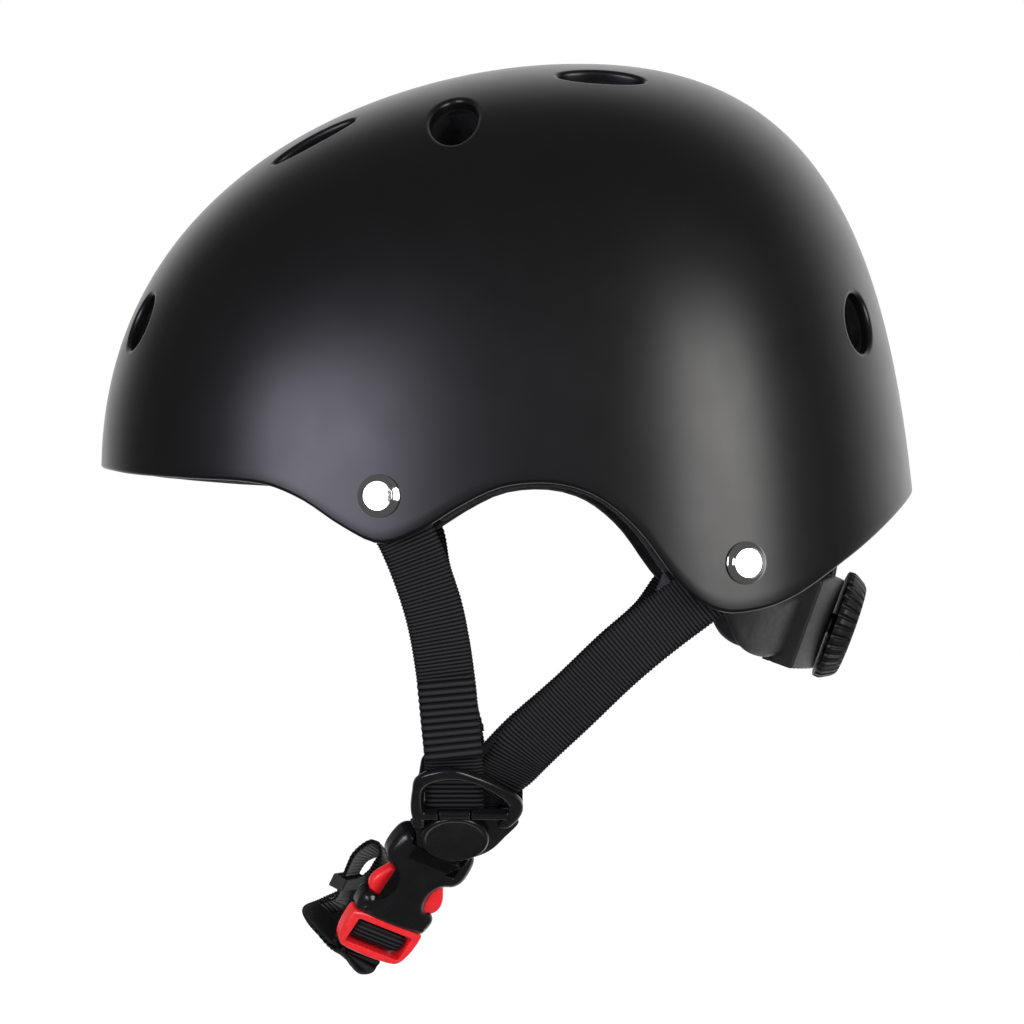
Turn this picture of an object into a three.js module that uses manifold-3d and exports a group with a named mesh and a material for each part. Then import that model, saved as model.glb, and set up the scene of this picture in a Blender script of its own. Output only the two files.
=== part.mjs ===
// Water helmet: ABS shell over a foam liner, rivetted webbing straps with locking dividers,
// side release buckle on the wearer's left, and a dial fit band at the nape.
// Millimetres. The front of the helmet looks along -Y, +X is the wearer's left, +Z is up.
// The origin is the centre of the crown pad's flat underside, where the head bears.
import * as THREE from 'three';
import Module from 'manifold-3d';

const wasm = await Module();
wasm.setup();

// ---------------------------------------------------------------- driving dimensions
const CROWN_TOP = 22;            // shell's highest point above the crown rest
const CURVE_END = -165;          // level where the three master curves end
const SHELL_THICK = 2.6;
const LINER_OUTER = 3.5;         // liner starts this far under the shell's outer face
const LINER_CROWN = 12;          // liner thickness at the crown
const LINER_FRONT = 24;          // at the brow
const LINER_SIDE = 14;           // at the ears
const LINER_REAR = 17;           // at the nape
const LINER_DROP = 0.9;          // liner shows this far under the shell edge
const GAP = 0.3;                 // fitted gap between neighbouring pieces
const PAD_GAP = 1.6;             // soft pads stand this far off the liner
const PAD_THICK = 6;
const CROWN_PAD_RADIUS = 26;

const WEB_HALF = 9.3;            // half width of the webbing
const WEB_THICK = 1.5;
const WEB_DEPTH = SHELL_THICK + GAP + 0.9 + WEB_THICK / 2;
const LAP_THICK = 1;             // ribbed sleeve on the front strap above the divider
const LAP_SHIFT = WEB_THICK / 2 + LAP_THICK / 2 + 0.5;

const RIVET_HEAD = 6.75;
const RIVET_FACE = 5.25;
const RIVET_SHANK = 2.4;
const RIVET_HOLE = 3;

const KNOB_INNER = 18.5;         // dial radius beside the housing
const KNOB_OUTER = 16.2;         // dial radius at its outer face
const KNOB_DEPTH = 7.6;
const KNOB_TEETH = 32;
const PINION_PITCH = 6;          // pitch radius, module 1
const PINION_TEETH = 12;
const PRESSURE_ANGLE = 20 * Math.PI / 180;
const ADDENDUM = 0.7;
const BACKLASH = 0.4;
const HOUSING_HALF = 38;
const HOUSING_RADIUS = 85;       // plan radius the housing and band follow
const HOUSING_LOW = -16;
const HOUSING_HIGH = 15;

// ---------------------------------------------------------------- small helpers
const vec = (x, y, z) => new THREE.Vector3(x, y, z);
const unit = (x, y, z) => vec(x, y, z).normalize();
const mix = (a, b, k) => a + (b - a) * k;
// The part of a direction that lies square to another one.
const squareTo = (direction, normal) =>
  direction.clone().addScaledVector(normal, -direction.dot(normal)).normalize();

function bezier(points, t) {
  const s = 1 - t;
  const weights = [s * s * s, 3 * s * s * t, 3 * s * t * t, t * t * t];
  return [0, 1].map((axis) => weights.reduce((sum, w, i) => sum + w * points[i][axis], 0));
}

// Smooth curve through a table of [x, y] pairs.
function smooth(table, x) {
  const last = table.length - 1;
  if (x <= table[0][0]) return table[0][1];
  if (x >= table[last][0]) return table[last][1];
  let i = 0;
  while (x > table[i + 1][0]) i += 1;
  const slope = (k) => {
    const lo = table[Math.max(k - 1, 0)];
    const hi = table[Math.min(k + 1, last)];
    return (hi[1] - lo[1]) / (hi[0] - lo[0]);
  };
  const span = table[i + 1][0] - table[i][0];
  const t = (x - table[i][0]) / span;
  const t2 = t * t;
  const t3 = t2 * t;
  return (2 * t3 - 3 * t2 + 1) * table[i][1] + (t3 - 2 * t2 + t) * span * slope(i)
    + (3 * t2 - 2 * t3) * table[i + 1][1] + (t3 - t2) * span * slope(i + 1);
}

// A right-handed local frame: at(a, b, c) = origin + a*ea + b*eb + c*ec.
function frameOf(origin, ea, eb, ec) {
  const matrix = new THREE.Matrix4().makeBasis(ea, eb, ec).setPosition(origin);
  return { origin, ea, eb, ec, matrix, at: (a, b, c) => vec(a, b, c).applyMatrix4(matrix) };
}

function solid(points, triangles) {
  const flat = new Float32Array(points.length * 3);
  points.forEach((p, i) => p.toArray(flat, i * 3));
  const mesh = new wasm.Mesh({ numProp: 3, vertProperties: flat, triVerts: new Uint32Array(triangles) });
  const body = new wasm.Manifold(mesh);
  if (body.volume() > 0) return body;
  const flipped = [];
  for (let i = 0; i < triangles.length; i += 3) {
    flipped.push(triangles[i], triangles[i + 2], triangles[i + 1]);
  }
  const turned = new wasm.Mesh({ numProp: 3, vertProperties: flat, triVerts: new Uint32Array(flipped) });
  return new wasm.Manifold(turned);
}

// Skin over a row of closed rings with the same number of points. An end closes on a pole point,
// or with a strip between the two halves of its ring.
function skin(rings, startPole = null, endPole = null) {
  const count = rings[0].length;
  const points = rings.flat();
  const triangles = [];
  for (let r = 0; r < rings.length - 1; r += 1) {
    for (let i = 0; i < count; i += 1) {
      const j = (i + 1) % count;
      const a = r * count + i;
      const b = r * count + j;
      triangles.push(a, b, a + count, b, b + count, a + count);
    }
  }
  const close = (base, pole, turn) => {
    const push = (a, b, c) => triangles.push(...(turn ? [a, c, b] : [a, b, c]));
    if (pole) {
      const tip = points.length;
      points.push(pole);
      for (let i = 0; i < count; i += 1) push(tip, base + (i + 1) % count, base + i);
      return;
    }
    for (let i = 0; i < count / 2 - 1; i += 1) {
      const a = base + i;
      const b = base + i + 1;
      const c = base + count - 2 - i;
      const d = base + count - 1 - i;
      push(a, d, b);
      push(b, d, c);
    }
  };
  close(0, startPole, false);
  close((rings.length - 1) * count, endPole, true);
  return solid(points, triangles);
}

// Flat outline [[a, b], ...] in a local frame, from c = low to c = high.
function plate(frame, outline, low, high, holes = []) {
  const shape = new THREE.Shape(outline.map(([a, b]) => new THREE.Vector2(a, b)));
  holes.forEach((hole) => shape.holes.push(new THREE.Path(hole.map(([a, b]) => new THREE.Vector2(a, b)))));
  const drawn = shape.extractPoints(1);
  const loops = [drawn.shape, ...drawn.holes];
  if (THREE.ShapeUtils.isClockWise(loops[0])) loops[0].reverse();
  loops.slice(1).forEach((loop) => { if (!THREE.ShapeUtils.isClockWise(loop)) loop.reverse(); });
  const flatPoints = loops.flat();
  const faces = THREE.ShapeUtils.triangulateShape(loops[0], loops.slice(1));
  const total = flatPoints.length;
  const points = [low, high].flatMap((c) => flatPoints.map((p) => frame.at(p.x, p.y, c)));
  const triangles = [];
  faces.forEach(([a, b, c]) => {
    triangles.push(a, c, b);
    triangles.push(a + total, b + total, c + total);
  });
  let base = 0;
  loops.forEach((loop) => {
    loop.forEach((_, i) => {
      const a = base + i;
      const b = base + (i + 1) % loop.length;
      triangles.push(a, b, a + total, b, b + total, a + total);
    });
    base += loop.length;
  });
  return solid(points, triangles);
}

const box = (frame, a0, a1, b0, b1, c0, c1) =>
  plate(frame, [[a0, b0], [a1, b0], [a1, b1], [a0, b1]], c0, c1);

// Body of revolution about the frame's third axis. The profile [[radius, height], ...] starts
// and ends on the axis.
function turned(frame, profile, sides) {
  const ring = ([radius, height]) => Array.from({ length: sides }, (_, i) => {
    const angle = 2 * Math.PI * i / sides;
    return frame.at(radius * Math.cos(angle), radius * Math.sin(angle), height);
  });
  const last = profile.length - 1;
  const poles = [profile[0], profile[last]].map(([, height]) => frame.at(0, 0, height));
  return skin(profile.slice(1, last).map(ring), ...poles);
}

const rod = (frame, radius, low, high, sides = 16) =>
  turned(frame, [[0, low], [radius, low], [radius, high], [0, high]], sides);

const circle = (a, b, radius, sides) => Array.from({ length: sides }, (_, i) => {
  const angle = 2 * Math.PI * (i + 0.5) / sides;
  return [a + radius * Math.cos(angle), b + radius * Math.sin(angle)];
});

// Flat band through stations {at, across, half}; returns the body and the frame at each sample.
function ribbon(stations, thick, perSpan, shift = 0) {
  const curve = new THREE.CatmullRomCurve3(stations.map((s) => s.at), false, 'centripetal');
  const total = (stations.length - 1) * perSpan;
  const samples = [];
  for (let i = 0; i <= total; i += 1) {
    const place = i / perSpan;
    const k = Math.min(Math.floor(place), stations.length - 2);
    const f = place - k;
    const along = curve.getTangent(i / total).normalize();
    const across = stations[k].across.clone().lerp(stations[k + 1].across, f);
    across.addScaledVector(along, -across.dot(along)).normalize();
    const out = along.clone().cross(across);
    const half = mix(stations[k].half ?? WEB_HALF, stations[k + 1].half ?? WEB_HALF, f);
    const centre = curve.getPoint(i / total).addScaledVector(out, shift);
    samples.push({ centre, along, across, out, half });
  }
  const rings = samples.map(({ centre, across, out, half }) => {
    const corner = (a, b) =>
      centre.clone().addScaledVector(across, a * half).addScaledVector(out, b * thick / 2);
    return [corner(-1, 1), corner(1, 1), corner(1, -1), corner(-1, -1)];
  });
  return { body: skin(rings), samples };
}

// The same piece for the wearer's right.
function mirrored(body) {
  const mesh = body.getMesh();
  const points = [];
  for (let i = 0; i < mesh.vertProperties.length; i += mesh.numProp) {
    points.push(vec(-mesh.vertProperties[i], mesh.vertProperties[i + 1], mesh.vertProperties[i + 2]));
  }
  return solid(points, Array.from(mesh.triVerts));
}

// ---------------------------------------------------------------- dome
// Three master curves from the crown down, as [reach, z] control points.
const FRONT_CURVE = [[0, CROWN_TOP], [68.6, CROWN_TOP], [190.2, -23.7], [150.9, CURVE_END]];
const REAR_CURVE = [[0, CROWN_TOP], [88.1, CROWN_TOP], [107.2, -48.5], [113.4, CURVE_END]];
const SIDE_CURVE = [[0, CROWN_TOP], [62, CROWN_TOP], [116, -8], [104, CURVE_END]];
// Plan shape of the dome: 2 is an ellipse, more is fuller at the corners.
const FRONT_ROUND = 2.35;
const REAR_ROUND = 2.2;
// Lower edge of the shell as [y, z]: brow, front lobe, ear arch, rear lobe, nape.
const EDGE = [
  [-160, -111.5], [-147, -114], [-129, -115.5], [-102, -117.5], [-89, -122.5], [-76, -131],
  [-64, -136.3], [-52, -132.5], [-39, -124.7], [-27, -119], [-14, -117.3], [-3, -118.8],
  [7, -123.5], [17.5, -132.8], [28.4, -147], [38, -155.5], [48, -158], [65, -153.7],
  [85, -140.6], [96, -132], [111, -118.6],
];

function domeSurface(theta, t) {
  const c = Math.cos(theta);
  const s = Math.sin(theta);
  const ends = bezier(c > 0 ? FRONT_CURVE : REAR_CURVE, t);
  const side = bezier(SIDE_CURVE, t);
  const power = c > 0 ? FRONT_ROUND : REAR_ROUND;
  const full = (Math.abs(c) ** power + Math.abs(s) ** power) ** (-1 / power);
  return vec(side[0] * s * full, -ends[0] * c * full, ends[1] * c * c + side[1] * s * s);
}

function domeNormal(theta, t) {
  const tt = Math.min(Math.max(t, 0.01), 0.99);
  const e = 1e-3;
  const across = domeSurface(theta + e, tt).sub(domeSurface(theta - e, tt));
  const down = domeSurface(theta, tt + e).sub(domeSurface(theta, tt - e));
  return down.cross(across).normalize();
}

function dome(theta, t, depth = 0) {
  if (t === 0) return vec(0, 0, CROWN_TOP - depth);
  return domeSurface(theta, t).addScaledVector(domeNormal(theta, t), -depth);
}

// Master curve parameter where the shell's lower edge crosses this direction.
function edgeAt(theta, drop = 0) {
  let low = 0.3;
  let high = 1;
  for (let i = 0; i < 40; i += 1) {
    const t = (low + high) / 2;
    const p = domeSurface(theta, t);
    if (p.z > smooth(EDGE, p.y) - drop) low = t;
    else high = t;
  }
  return low;
}

// Direction and curve parameter of the dome point nearest to a point, on the left half. The
// distance can leave the X axis out, to find the point seen from the side.
const ALL = vec(1, 1, 1);
const FROM_SIDE = vec(0.02, 1, 1);
function locate(target, weights = ALL) {
  let best = { theta: 0, t: 0.5 };
  const away = (theta, t) => domeSurface(theta, t).sub(target).multiply(weights).length();
  let distance = Infinity;
  for (let i = 0; i <= 36; i += 1) {
    for (let j = 1; j < 40; j += 1) {
      const d = away(i * Math.PI / 36, j / 40);
      if (d < distance) {
        distance = d;
        best = { theta: i * Math.PI / 36, t: j / 40 };
      }
    }
  }
  for (let step = 0.05; step > 1e-5; step /= 2) {
    for (let again = 0; again < 4; again += 1) {
      [[step, 0], [-step, 0], [0, step / 2], [0, -step / 2]].forEach(([a, b]) => {
        const d = away(best.theta + a, best.t + b);
        if (d < distance) {
          distance = d;
          best = { theta: best.theta + a, t: best.t + b };
        }
      });
    }
  }
  return best;
}

function onDome(x, y, z, depth = 0, weights = ALL) {
  const place = locate(vec(x, y, z), weights);
  return { at: dome(place.theta, place.t, depth), normal: domeNormal(place.theta, place.t), place };
}

// Local frame on the dome, third axis outward, first axis along the given direction.
function domeFrame(x, y, z, along, weights) {
  const { at, normal } = onDome(x, y, z, 0, weights);
  const ea = squareTo(along, normal);
  return frameOf(at, ea, normal.clone().cross(ea), normal);
}

const linerDepth = (theta, t) => {
  const c = Math.cos(theta);
  const wall = mix(LINER_SIDE, c > 0 ? LINER_FRONT : LINER_REAR, c * c);
  return LINER_OUTER + mix(LINER_CROWN, wall, Math.min(t / 0.75, 1));
};

// Ring directions round the dome, closer together along the ears where the edge curves most.
const AROUND = [];
for (let degrees = 0; degrees < 360;) {
  AROUND.push(degrees * Math.PI / 180);
  const side = Math.abs(Math.sin(degrees * Math.PI / 180));
  degrees += side > 0.7 ? 6 : 10;
}
const DOWN = [0.1, 0.24, 0.42, 0.6, 0.76, 0.89, 1];

function domeShell(outer, inner, drop, rows) {
  const edges = AROUND.map((theta) => edgeAt(theta, drop));
  const ring = (depth, share) => AROUND.map((theta, i) => {
    const t = edges[i] * share;
    return dome(theta, t, depth(theta, t));
  });
  const outside = rows.map((share) => ring(outer, share));
  const inside = [...rows].reverse().map((share) => ring(inner, share));
  return skin([...outside, ...inside], dome(0, 0, outer(0, 0)), dome(0, 0, inner(0, 0)));
}

// ---------------------------------------------------------------- vents
// Centre, half sizes along and across, direction of the long axis. Left side; all are mirrored.
const VENTS = [
  { at: [36.5, -143.6, -64.4], along: vec(0, 0.2, 1), long: 9.7, wide: 8 },
  { at: [42, -87, -5.6], along: vec(0, 0.94, 0.33), long: 14.8, wide: 5.2 },
  { at: [64.4, -41.3, -0.8], along: vec(0.78, 0, -0.63), long: 12.4, wide: 7.9 },
  { at: [44, 6.2, 14.7], along: vec(0.04, 1, -0.06), long: 14, wide: 7 },
  { at: [52.8, 89.2, -65.4], along: vec(-0.59, 0.09, 0.8), long: 10.6, wide: 8.6 },
];

function ventCutter(vent, grow) {
  const frame = domeFrame(...vent.at, vent.along);
  const sides = 12;
  const ring = (depth) => Array.from({ length: sides }, (_, i) => {
    const angle = 2 * Math.PI * i / sides;
    return frame.at((vent.long + grow) * Math.cos(angle), (vent.wide + grow) * Math.sin(angle), depth);
  });
  return skin([ring(-40), ring(14)], frame.at(0, 0, -40), frame.at(0, 0, 14));
}

// ---------------------------------------------------------------- rivet places and strap paths
const RIVETS = {
  front: { at: [99, -64.1, -121.3], along: vec(0, 0.5, -0.86) },
  rear: { at: [97, 50.5, -142.2], along: vec(-0.1, -0.82, -0.57) },
};
Object.values(RIVETS).forEach((rivet) => {
  rivet.frame = domeFrame(...rivet.at, rivet.along, FROM_SIDE);
});

const rivetHole = (rivet) => rod(rivet.frame, RIVET_HOLE, -8, 3, 8);

// Divider: first axis rearward, second up the strap, third outward.
const divider = frameOf(
  vec(44.4, -41, -228.5), vec(0, 1, 0), unit(0.743, 0, 0.669), unit(0.669, 0, -0.743),
);
// Buckle: first axis down the buckle from its webbing bar, second across, third outward.
const buckleAlong = unit(-0.312, -0.524, -0.792);
const buckleOut = squareTo(unit(0.843, 0.235, -0.488), buckleAlong);
const buckleAcross = buckleOut.clone().cross(buckleAlong);
const buckle = frameOf(vec(34, -47.1, -234.6), buckleAlong, buckleAcross, buckleOut);
// Sewn tab of the right strap, laid out on the left and mirrored: along, across and out.
const tabAlong = unit(-0.34, -0.62, -0.705);
const tabOut = squareTo(unit(0.85, 0.16, -0.5), tabAlong);
const tab = frameOf(vec(34.6, -47.6, -233.4), tabAlong, tabOut.clone().cross(tabAlong), tabOut);
// Dial: first axis up the housing, second to the wearer's left, third out of the dial.
const TILT = 20 * Math.PI / 180;
const dial = frameOf(vec(0, 83.1, -163.2), vec(0, Math.sin(TILT), Math.cos(TILT)), vec(1, 0, 0),
  vec(0, Math.cos(TILT), -Math.sin(TILT)));

// Webbing held between shell and liner at a rivet: stations [reach, extra depth] along the dome.
function rivetStations(rivet, reaches) {
  return reaches.map(([reach, extra]) => {
    const p = rivet.frame.at(reach, 0, 0);
    const { at, normal } = onDome(p.x, p.y, p.z, WEB_DEPTH + extra);
    return { at, across: normal.clone().cross(rivet.frame.ea).normalize() };
  });
}

const free = (x, y, z, across) => ({ at: vec(x, y, z), across });
const inDivider = (u, v, h, au, av) => ({
  at: divider.at(u, v, h),
  across: divider.ea.clone().multiplyScalar(au).addScaledVector(divider.eb, av),
});
const inBuckle = (p, q, n) => ({ at: buckle.at(p, q, n), across: buckle.eb.clone() });

const FRONT_RUN = [
  free(91.2, -50.8, -146, vec(0.05, 0.93, 0.36)),
  free(87, -46.6, -160, vec(0, 0.97, 0.2)),
  free(81, -43.6, -178, vec(0, 0.99, 0.1)),
  free(75.2, -42, -195, vec(0, 1, 0)),
];
const REAR_RUN = [
  free(90.6, 25, -161, vec(0, 0.6, -0.8)),
  free(86.5, 10.7, -173, vec(0, 0.64, -0.77)),
  free(78.5, -4.3, -187.7, vec(0, 0.66, -0.75)),
  free(70.6, -18.2, -201.4, vec(-0.1, 0.76, -0.64)),
];
const LAYER = 1.2;
const frontDivider = [inDivider(0, 30, LAYER, 1, 0), inDivider(0, 13, LAYER, 1, 0),
  inDivider(0, 4.5, LAYER, 1, 0), inDivider(0, -2.6, 0.9, 1, 0)];
const rearDivider = [
  inDivider(14.6, 24.4, -LAYER, 0.82, -0.7), inDivider(7.2, 17.2, -LAYER, 0.9, -0.43),
  inDivider(4, 10, -LAYER, 0.94, -0.33), inDivider(0.8, 2.5, -LAYER, 0.98, -0.17),
  inDivider(0, -2.6, -LAYER, 1, 0),
];
// Centre line of the webbing round the buckle bar (left) and of the sewn fold (right), as [p, n].
const BAR_WRAP = [[-2.4, 2.75], [0.4, 2.6], [2.8, 1.8], [3.8, 0], [2.8, -1.8], [0.4, -2.6], [-2.4, -2.75]];
const SEWN_FOLD = [[-2.4, 1.2], [5, 1.1], [12, 1.05], [13.4, 0], [12, -1.05], [5, -1.1], [-2.4, -1.2]];

function sideStrap(frame, turn) {
  const start = rivetStations(RIVETS.front, [[-9, 0], [0, 0], [8, 0.3], [15, 1.4]]);
  const finish = rivetStations(RIVETS.rear, [[-9, 0], [0, 0], [9, 0.3], [17, 1.2]]).reverse();
  const stations = [
    ...start, ...FRONT_RUN, ...frontDivider,
    ...turn.map(([p, n]) => ({ at: frame.at(p, 0, n), across: frame.eb.clone() })),
    ...[...rearDivider].reverse(), ...[...REAR_RUN].reverse(), ...finish,
  ];
  let { body } = ribbon(stations, WEB_THICK, 2);
  Object.values(RIVETS).forEach((rivet) => {
    body = body.subtract(rivetHole(rivet));
  });
  return body;
}

// ---------------------------------------------------------------- shell, liner, pads
const pocketOf = (rivet) => box(rivet.frame, -11.5, 60, -WEB_HALF - 2.8, WEB_HALF + 2.8, -11.5, 1);

let shell = domeShell(() => 0, () => SHELL_THICK, 0, DOWN);
let liner = domeShell(() => LINER_OUTER, linerDepth, LINER_DROP, DOWN);
VENTS.forEach((vent) => {
  const shellCut = ventCutter(vent, 0);
  const linerCut = ventCutter(vent, -0.6);
  shell = shell.subtract(shellCut).subtract(mirrored(shellCut));
  liner = liner.subtract(linerCut).subtract(mirrored(linerCut));
});
Object.values(RIVETS).forEach((rivet) => {
  const hole = rivetHole(rivet);
  shell = shell.subtract(hole).subtract(mirrored(hole));
  const pocket = pocketOf(rivet);
  liner = liner.subtract(pocket).subtract(mirrored(pocket));
});

// Soft pad on the inside of the liner, between two directions and two curve shares. Its rim is
// thinner than its middle.
const RIM_SHARE = 0.55;
function pad(fromDegrees, toDegrees, high, low, steps) {
  const rows = [0, 0.12, 0.5, 0.88, 1];
  const rings = [];
  for (let i = 0; i <= steps; i += 1) {
    const share = i / steps;
    const theta = mix(fromDegrees, toDegrees, share) * Math.PI / 180;
    const endThick = i === 0 || i === steps ? RIM_SHARE : 1;
    const place = (row, depth) => {
      const t = mix(high, low, row);
      return dome(theta, t, linerDepth(theta, t) + PAD_GAP + depth);
    };
    const outside = rows.map((row) => place(row, 0));
    const inside = [...rows].reverse().map((row) => {
      const sideThick = row === 0 || row === 1 ? RIM_SHARE : 1;
      return place(row, PAD_THICK * endThick * sideThick);
    });
    rings.push([...outside, ...inside]);
  }
  return skin(rings);
}

// Crown pad: flat underside at z = 0, top follows the liner.
function crownPad() {
  const sides = 24;
  const under = (theta, radius) => {
    let low = 0;
    let high = 0.6;
    for (let i = 0; i < 30; i += 1) {
      const t = (low + high) / 2;
      const p = dome(theta, t, linerDepth(theta, t) + PAD_GAP);
      if (Math.hypot(p.x, p.y) < radius) low = t;
      else high = t;
    }
    return dome(theta, low, linerDepth(theta, low) + PAD_GAP).z;
  };
  const directions = Array.from({ length: sides }, (_, i) => 2 * Math.PI * i / sides);
  const ring = (radius, height) => directions.map((theta) =>
    vec(radius * Math.sin(theta), -radius * Math.cos(theta), height(theta)));
  const top = (radius) => ring(radius, (theta) => under(theta, radius));
  return skin(
    [
      ring(CROWN_PAD_RADIUS - 1.5, () => 0), ring(CROWN_PAD_RADIUS, () => 1),
      top(CROWN_PAD_RADIUS), top(12),
    ],
    vec(0, 0, 0), vec(0, 0, CROWN_TOP - linerDepth(0, 0) - PAD_GAP),
  );
}

// ---------------------------------------------------------------- rivets and washers
const RIVET_PROFILE = [
  [0, 2], [RIVET_FACE, 2], [5.7, 1.55], [6.4, 1.4], [RIVET_HEAD, 1], [RIVET_HEAD, 0.35],
  [RIVET_SHANK, 0.35], [RIVET_SHANK, -7.4], [4.2, -7.4], [4.2, -8.2], [0, -8.2],
];
const rivetBody = (rivet) => turned(rivet.frame, RIVET_PROFILE, 12);
const washerBody = (rivet) => rod(rivet.frame, 6.5, -7.1, -5.8, 12).subtract(rivetHole(rivet));

// ---------------------------------------------------------------- divider
const RING_OUTLINE = [
  [-12.7, 6.6], [-14.1, 14], [-13.6, 24], [-12.5, 30], [-8, 33.6], [0, 35], [8, 31.4],
  [16, 25.6], [21.3, 19.4], [22, 15], [20.3, 9.9], [17.8, 6.6],
];
const RING_WINDOW = [
  [-9.8, 6.5], [-9.8, 26], [-6, 29.6], [-0.5, 30.7], [5, 29.6], [12, 24.4], [17.2, 17.8],
  [16.6, 13], [13.6, 6.5],
];
const FRAME_BACK = -4.4;
const FRAME_FRONT = 5.4;
const FLAP_LOW = 2.4;
const HINGE_V = 12.2;
const HINGE_H = 3.9;
const hingeFrame = frameOf(divider.at(0, HINGE_V, HINGE_H), divider.eb, divider.ec, divider.ea);

function dividerFrame() {
  const insideWindow = plate(divider, RING_WINDOW, FLAP_LOW - 1, FRAME_FRONT + 1);
  const slotBelow = box(divider, -9.8, 13.6, 0, 6.7, FLAP_LOW - 1, FRAME_FRONT + 1);
  let body = plate(divider, RING_OUTLINE, FLAP_LOW, FRAME_FRONT).subtract(insideWindow).subtract(slotBelow);
  const frontPost = [[-11.6, 1.2], [-9.75, 1.2], [-9.8, 14], [-13.9, 14], [-12.7, 6.6]];
  const rearPost = [[10, -0.8], [13, -1], [17.8, 6.6], [20.3, 9.9], [22, 15], [18.2, 14.4], [12, 0.5]];
  [frontPost, rearPost].forEach((post) => {
    const low = plate(divider, post, FRAME_BACK, 2.1);
    const above = box(divider, -20, 25, 6.6, 20, -9, 9);
    const tall = plate(divider, post, FRAME_BACK, FRAME_FRONT).intersect(above);
    body = body.add(low).add(tall);
  });
  const foot = [[-11.6, 1.2], [-9, 0.4], [9.6, -0.6], [13, -1], [17.8, 6.6], [16, 9.5], [-12.5, 9.5]];
  body = body.add(plate(divider, foot, FRAME_BACK, -2.4));
  body = body.add(box(divider, -10.5, -5.4, 10.9, 13.5, FLAP_LOW, FRAME_FRONT));
  body = body.add(box(divider, 5.4, 17.2, 10.9, 13.5, FLAP_LOW, FRAME_FRONT));
  return body.add(rod(hingeFrame, 0.65, -6, 6, 8));
}

function dividerLock() {
  const rim = plate(divider, circle(0, 0, 11, 20), FLAP_LOW, FRAME_FRONT);
  const dish = plate(divider, circle(0, 0, 8.2, 16), FRAME_FRONT - 0.6, FRAME_FRONT + 1);
  const neck = box(divider, -5, 5, 7.5, HINGE_V, 2.9, 4.9);
  const barrel = rod(hingeFrame, 1.45, -5, 5, 10);
  return rim.subtract(dish).add(neck).add(barrel).subtract(rod(hingeFrame, 1, -6, 6, 8));
}

// ---------------------------------------------------------------- buckle
const bothSides = (half) => [...half, ...[...half].reverse().map(([p, q]) => [p, -q])];
const FEMALE_OUTLINE = bothSides([
  [-3, 11], [-1.6, 13.4], [1, 14.5], [10.5, 14.4], [13, 13], [15, 11.9], [18, 11.5],
  [20.5, 12.2], [22.5, 13.4], [29.5, 13.3], [31, 12.5],
]);
const MALE_FRONT = 31.3;
const MALE_OUTLINE = bothSides([[MALE_FRONT, 12.9], [33, 13.5], [40, 13.1], [43.6, 11.8], [45, 9.8]]);

function buckleFemale() {
  let body = plate(buckle, FEMALE_OUTLINE, -4.75, 4.75);
  body = body.subtract(box(buckle, 1.9, 7, -10, 10, -6, 6));
  body = body.subtract(box(buckle, -4, 2, -10.9, 10.9, 1.4, 6));
  body = body.subtract(box(buckle, -4, 2, -10.9, 10.9, -6, -1.4));
  body = body.subtract(box(buckle, -4, -1.9, -10.9, 10.9, -6, 6));
  body = body.subtract(box(buckle, 11, 32, -10.6, 10.6, -2.6, 2.6));
  [1, -1].forEach((side) => {
    const q = [9, 17].map((value) => value * side).sort((a, b) => a - b);
    body = body.subtract(box(buckle, 12.6, 22, q[0], q[1], -2.6, 2.6));
  });
  return body;
}

function prong(side) {
  const outline = [
    [31, 7], [31, 10.2], [21.8, 10.2], [20.6, 12.5], [18.4, 12.7], [15.4, 11.6], [13.4, 9.6],
    [13.4, 8], [15.4, 7], [21, 7],
  ].map(([p, q]) => [p, q * side]);
  return plate(buckle, outline, -2.2, 2.2);
}

function buckleMale() {
  let body = plate(buckle, MALE_OUTLINE, -3.5, 3.5);
  body = body.subtract(box(buckle, 33.6, 42, -9.9, 9.9, -5, 5));
  body = body.add(box(buckle, 37.1, 38.5, -10.4, 10.4, -2, -0.4));
  return body.add(plate(buckle, bothSides([[12.4, 3], [14, 4.4], [32, 4.6]]), -1.8, 1.8));
}

// ---------------------------------------------------------------- chin strap
// Sewn over the right side strap, under the chin, round the ladder bar, tail looped up.
const rightOf = (v) => vec(-v.x, v.y, v.z);
const onTab = (p, n) => ({ at: rightOf(tab.at(p, 0, n)), across: rightOf(tab.eb) });
const LADDER = [
  [46.5, -5.6], [43.4, -5.5], [41.2, -4], [40.2, -2], [39.5, -0.1], [37.8, 1.1], [36.1, -0.1],
  [35.5, -2], [34.6, -4.6], [32.6, -7],
];

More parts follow.
